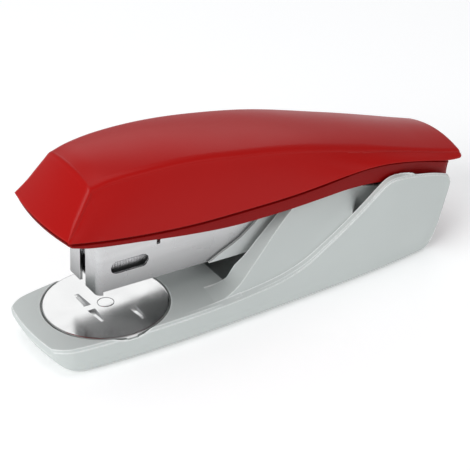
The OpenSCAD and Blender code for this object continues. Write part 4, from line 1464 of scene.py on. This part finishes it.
        def at(depth: float, z: float) -> Place:
            """Return the place at a depth inward from the route."""
            return (x + inward[0] * depth, y + inward[1] * depth, z)

        tall = rim - low
        soft = min(0.3, tall * 0.15)
        return [at(lean + 0.3, low), at(lean + 0.08, low + soft * 0.4), at(lean * 0.85, low + soft),
                at(lean * 0.5, mix(low, rim, 0.5)), at(0.0, rim - 1.15), at(0.1, rim - 0.98), at(0.62, rim - 0.8),
                at(0.7, rim - 0.6), at(0.7, rim), at(self.ledge, rim), at(self.ledge, rim - 0.8),
                at(self.frame_wall, rim - 1.4), at(self.frame_wall + lean * 0.5, mix(low, rim, 0.45)),
                at(self.frame_wall + lean, low + 0.1), at(self.frame_wall + lean - 0.15, low)]

    def frame_ring(self) -> Piece:
        """Build the frame as a closed ring: along one side, round the nose, back, and round the tail."""
        side = [(x, self.frame_half(x)) for x in steps(63.4, -63.4, 110)]
        near = [self.frame_section(x, -y, (0, 1)) for x, y in side]
        far = [self.frame_section(x, y, (0, -1)) for x, y in reversed(side)]
        nose = [self.frame_section(-65.5 + 1.6 * (y / 15.5) ** 2, y, (1, 0)) for y in steps(-14.4, 14.4, 24)]
        tail = [self.frame_section(66.9 - 1.4 * (y / 13) ** 2, y, (-1, 0), 2.5) for y in steps(10.6, -10.6, 20)]
        rows = near + nose + far + self.frame_corner(1) + tail + self.frame_corner(-1)
        points, faces = skin(rows + rows[:1], closed=True, capped=False)
        return shaded(mesh_piece("cover_band", points, faces), 42.0)

    def frame_corner(self, side: int) -> list[list[Place]]:
        """Return the rows that carry the frame round a rear corner, in the order of its route."""
        rows = []
        for share in (0.25, 0.5, 0.75):
            a = share * math.pi / 2
            inward = (-math.sin(a), -side * math.cos(a))
            place = (64.0 + 1.9 * math.sin(a), side * (11.3 + 2.1 * math.cos(a)))
            rows.append(self.frame_section(*place, inward, 2.3 * share))
        return rows if side > 0 else rows[::-1]

    def heads(self, name: str, pattern: Piece, places: Sequence[Place], direction: Vector, finish: Finish,
              slot: str, node: str) -> None:
        """Set fasteners at their places, all facing one way, and mount them as one piece."""
        values = {"Pattern": pattern, "Direction": tuple(direction), "Seed": 3}
        made = Recipes.get("fasteners").bake(name, seed_of(places), finish, values)
        bpy.data.objects.remove(pattern)
        mounted(shaded(made, 35.0), Body.HANDLE, slot, finish, [node])

    def build(self) -> None:
        """Build and mount every piece that moves with the handle."""
        shell = joined("press_cover", [self.cover_shell(), *self.bosses()])
        mounted(shaded(shell, 38.0), Body.HANDLE, "cover_red", RED_COVER, ["cover"])
        mounted(self.frame_ring(), Body.HANDLE, "frame_red", RED_FRAME, ["cover_frame"])
        for name, node, slot, finish, width in (
            ("inner_lever", "press_lever", "lever_steel", ZINC, 0.2),
            ("blade", "driver_blade", "rail_steel", HARD_STEEL, 0.08),
            ("leaf", "leaf_spring", "spring_steel", SPRING_STEEL, 0.08),
        ):
            mounted_copy(name, node, Body.HANDLE, slot, finish, width)
        up = Vector(self.lever_place(0, 0, 1)) - Vector(self.lever_place(0, 0, 0))
        rivet = turned("leaf rivet", domed_profile(2.1, 0.6, 1.25, 1.7), 32)
        places = [self.lever_place(u, 0, -1.78) for u in (-15, -20)]
        self.heads("leaf_rivet_pair", shaded(rivet), places, -up, PIN_STEEL, "pin_steel", "leaf_rivets")
        screw = cross_screw("cover screw", 2.6, 1.5, 1.3, 5.2)
        places = [self.lever_place(u, 0, -1.25) for u, _ in self.screw_places]
        self.heads("cover_screw_pair", screw, places, -up, SCREW_STEEL, "screw_steel", "cover_screws")
        low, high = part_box("blade_rivets")
        rivet = turned("blade rivet", domed_profile(1.9, 0.65, 1.08, 1.8), 32)
        back = Vector((math.cos(ARM_TILT + 0.0733), 0, -math.sin(ARM_TILT + 0.0733)))
        middle = (Vector(low) + Vector(high)) / 2 / MM
        places = [tuple(middle + back * 0.6 + Vector((0, y, 0))) for y in (-4, 4)]
        self.heads("blade_rivet_pair", shaded(rivet), places, back, PIN_STEEL, "pin_steel", "blade_rivets")


# ---------------------------------------------------------------- studio


@dataclass
class Studio:
    """The pale floor, the soft lights and the camera."""

    camera_place: Place = (-224.24, -344.39, 267.70)
    azimuth: float = -32.70
    elevation: float = 31.53
    lens: float = 126.1
    floor_half: float = 3.0

    def floor(self) -> None:
        """Build the plain pale floor."""
        h = self.floor_half / MM
        corners = [(-h, -h, 0.0), (h, -h, 0.0), (h, h, 0.0), (-h, h, 0.0)]
        mesh = bpy.data.meshes.new("floor")
        mesh.from_pydata([Vector(c) * MM for c in corners], [], [(0, 1, 2, 3)])
        floor = linked("studio_floor", mesh)
        paper = bpy.data.materials.new("studio paper")
        paper.use_nodes = True
        surface = paper.node_tree.nodes["Principled BSDF"]
        surface.inputs["Base Color"].default_value = (0.93, 0.93, 0.93, 1.0)
        surface.inputs["Roughness"].default_value = 0.9
        surface.inputs["Specular IOR Level"].default_value = 0.1
        surface.inputs["Emission Color"].default_value = (1.0, 1.0, 1.0, 1.0)
        surface.inputs["Emission Strength"].default_value = 0.2
        mesh.materials.append(paper)

    def light(self, name: str, place: Place, target: Place, size: Point, power: float) -> None:
        """Add a soft rectangular light aimed at a target, with places in metres."""
        lamp = bpy.data.lights.new(name, "AREA")
        lamp.shape = "RECTANGLE"
        lamp.size, lamp.size_y = size
        lamp.energy = power
        holder = linked(name, lamp)
        holder.location = place
        holder.rotation_euler = (Vector(place) - Vector(target)).to_track_quat("Z", "Y").to_euler()

    def build(self) -> None:
        """Build the floor, the lights, the surrounding and the camera."""
        self.floor()
        centre = (0.0, 0.0, 0.03)
        self.light("key", (-0.80, -0.25, 0.60), centre, (0.7, 0.5), 5.4)
        self.light("top", (-0.05, 0.10, 0.95), centre, (0.7, 0.7), 2.2)
        self.light("front fill", (0.35, -0.9, 0.45), centre, (0.8, 0.4), 1.1)
        self.light("back", (0.45, 0.75, 0.55), centre, (0.8, 0.5), 1.2)
        world = bpy.data.worlds.new("studio air")
        world.use_nodes = True
        air = world.node_tree.nodes["Background"]
        air.inputs["Color"].default_value = (0.95, 0.97, 1.0, 1.0)
        air.inputs["Strength"].default_value = 0.36
        scene = bpy.context.scene
        scene.world = world
        scene.view_settings.view_transform = "Standard"
        lens = bpy.data.cameras.new("camera")
        lens.lens = self.lens
        lens.sensor_width = 36.0
        lens.clip_start = 0.01
        holder = linked("camera", lens)
        a, e = math.radians(self.azimuth), math.radians(self.elevation)
        back = Vector((math.sin(a) * math.cos(e), -math.cos(a) * math.cos(e), math.sin(e)))
        holder.location = Vector(self.camera_place) * MM
        holder.rotation_euler = back.to_track_quat("Z", "Y").to_euler()
        scene.camera = holder


def main() -> None:
    base = Base()
    for part in (Studio(), base, Hinge(base), Anvil(), Magazine(), Handle()):
        log.info("building %s", type(part).__name__)
        part.build()


if __name__ == "__main__":
    main()
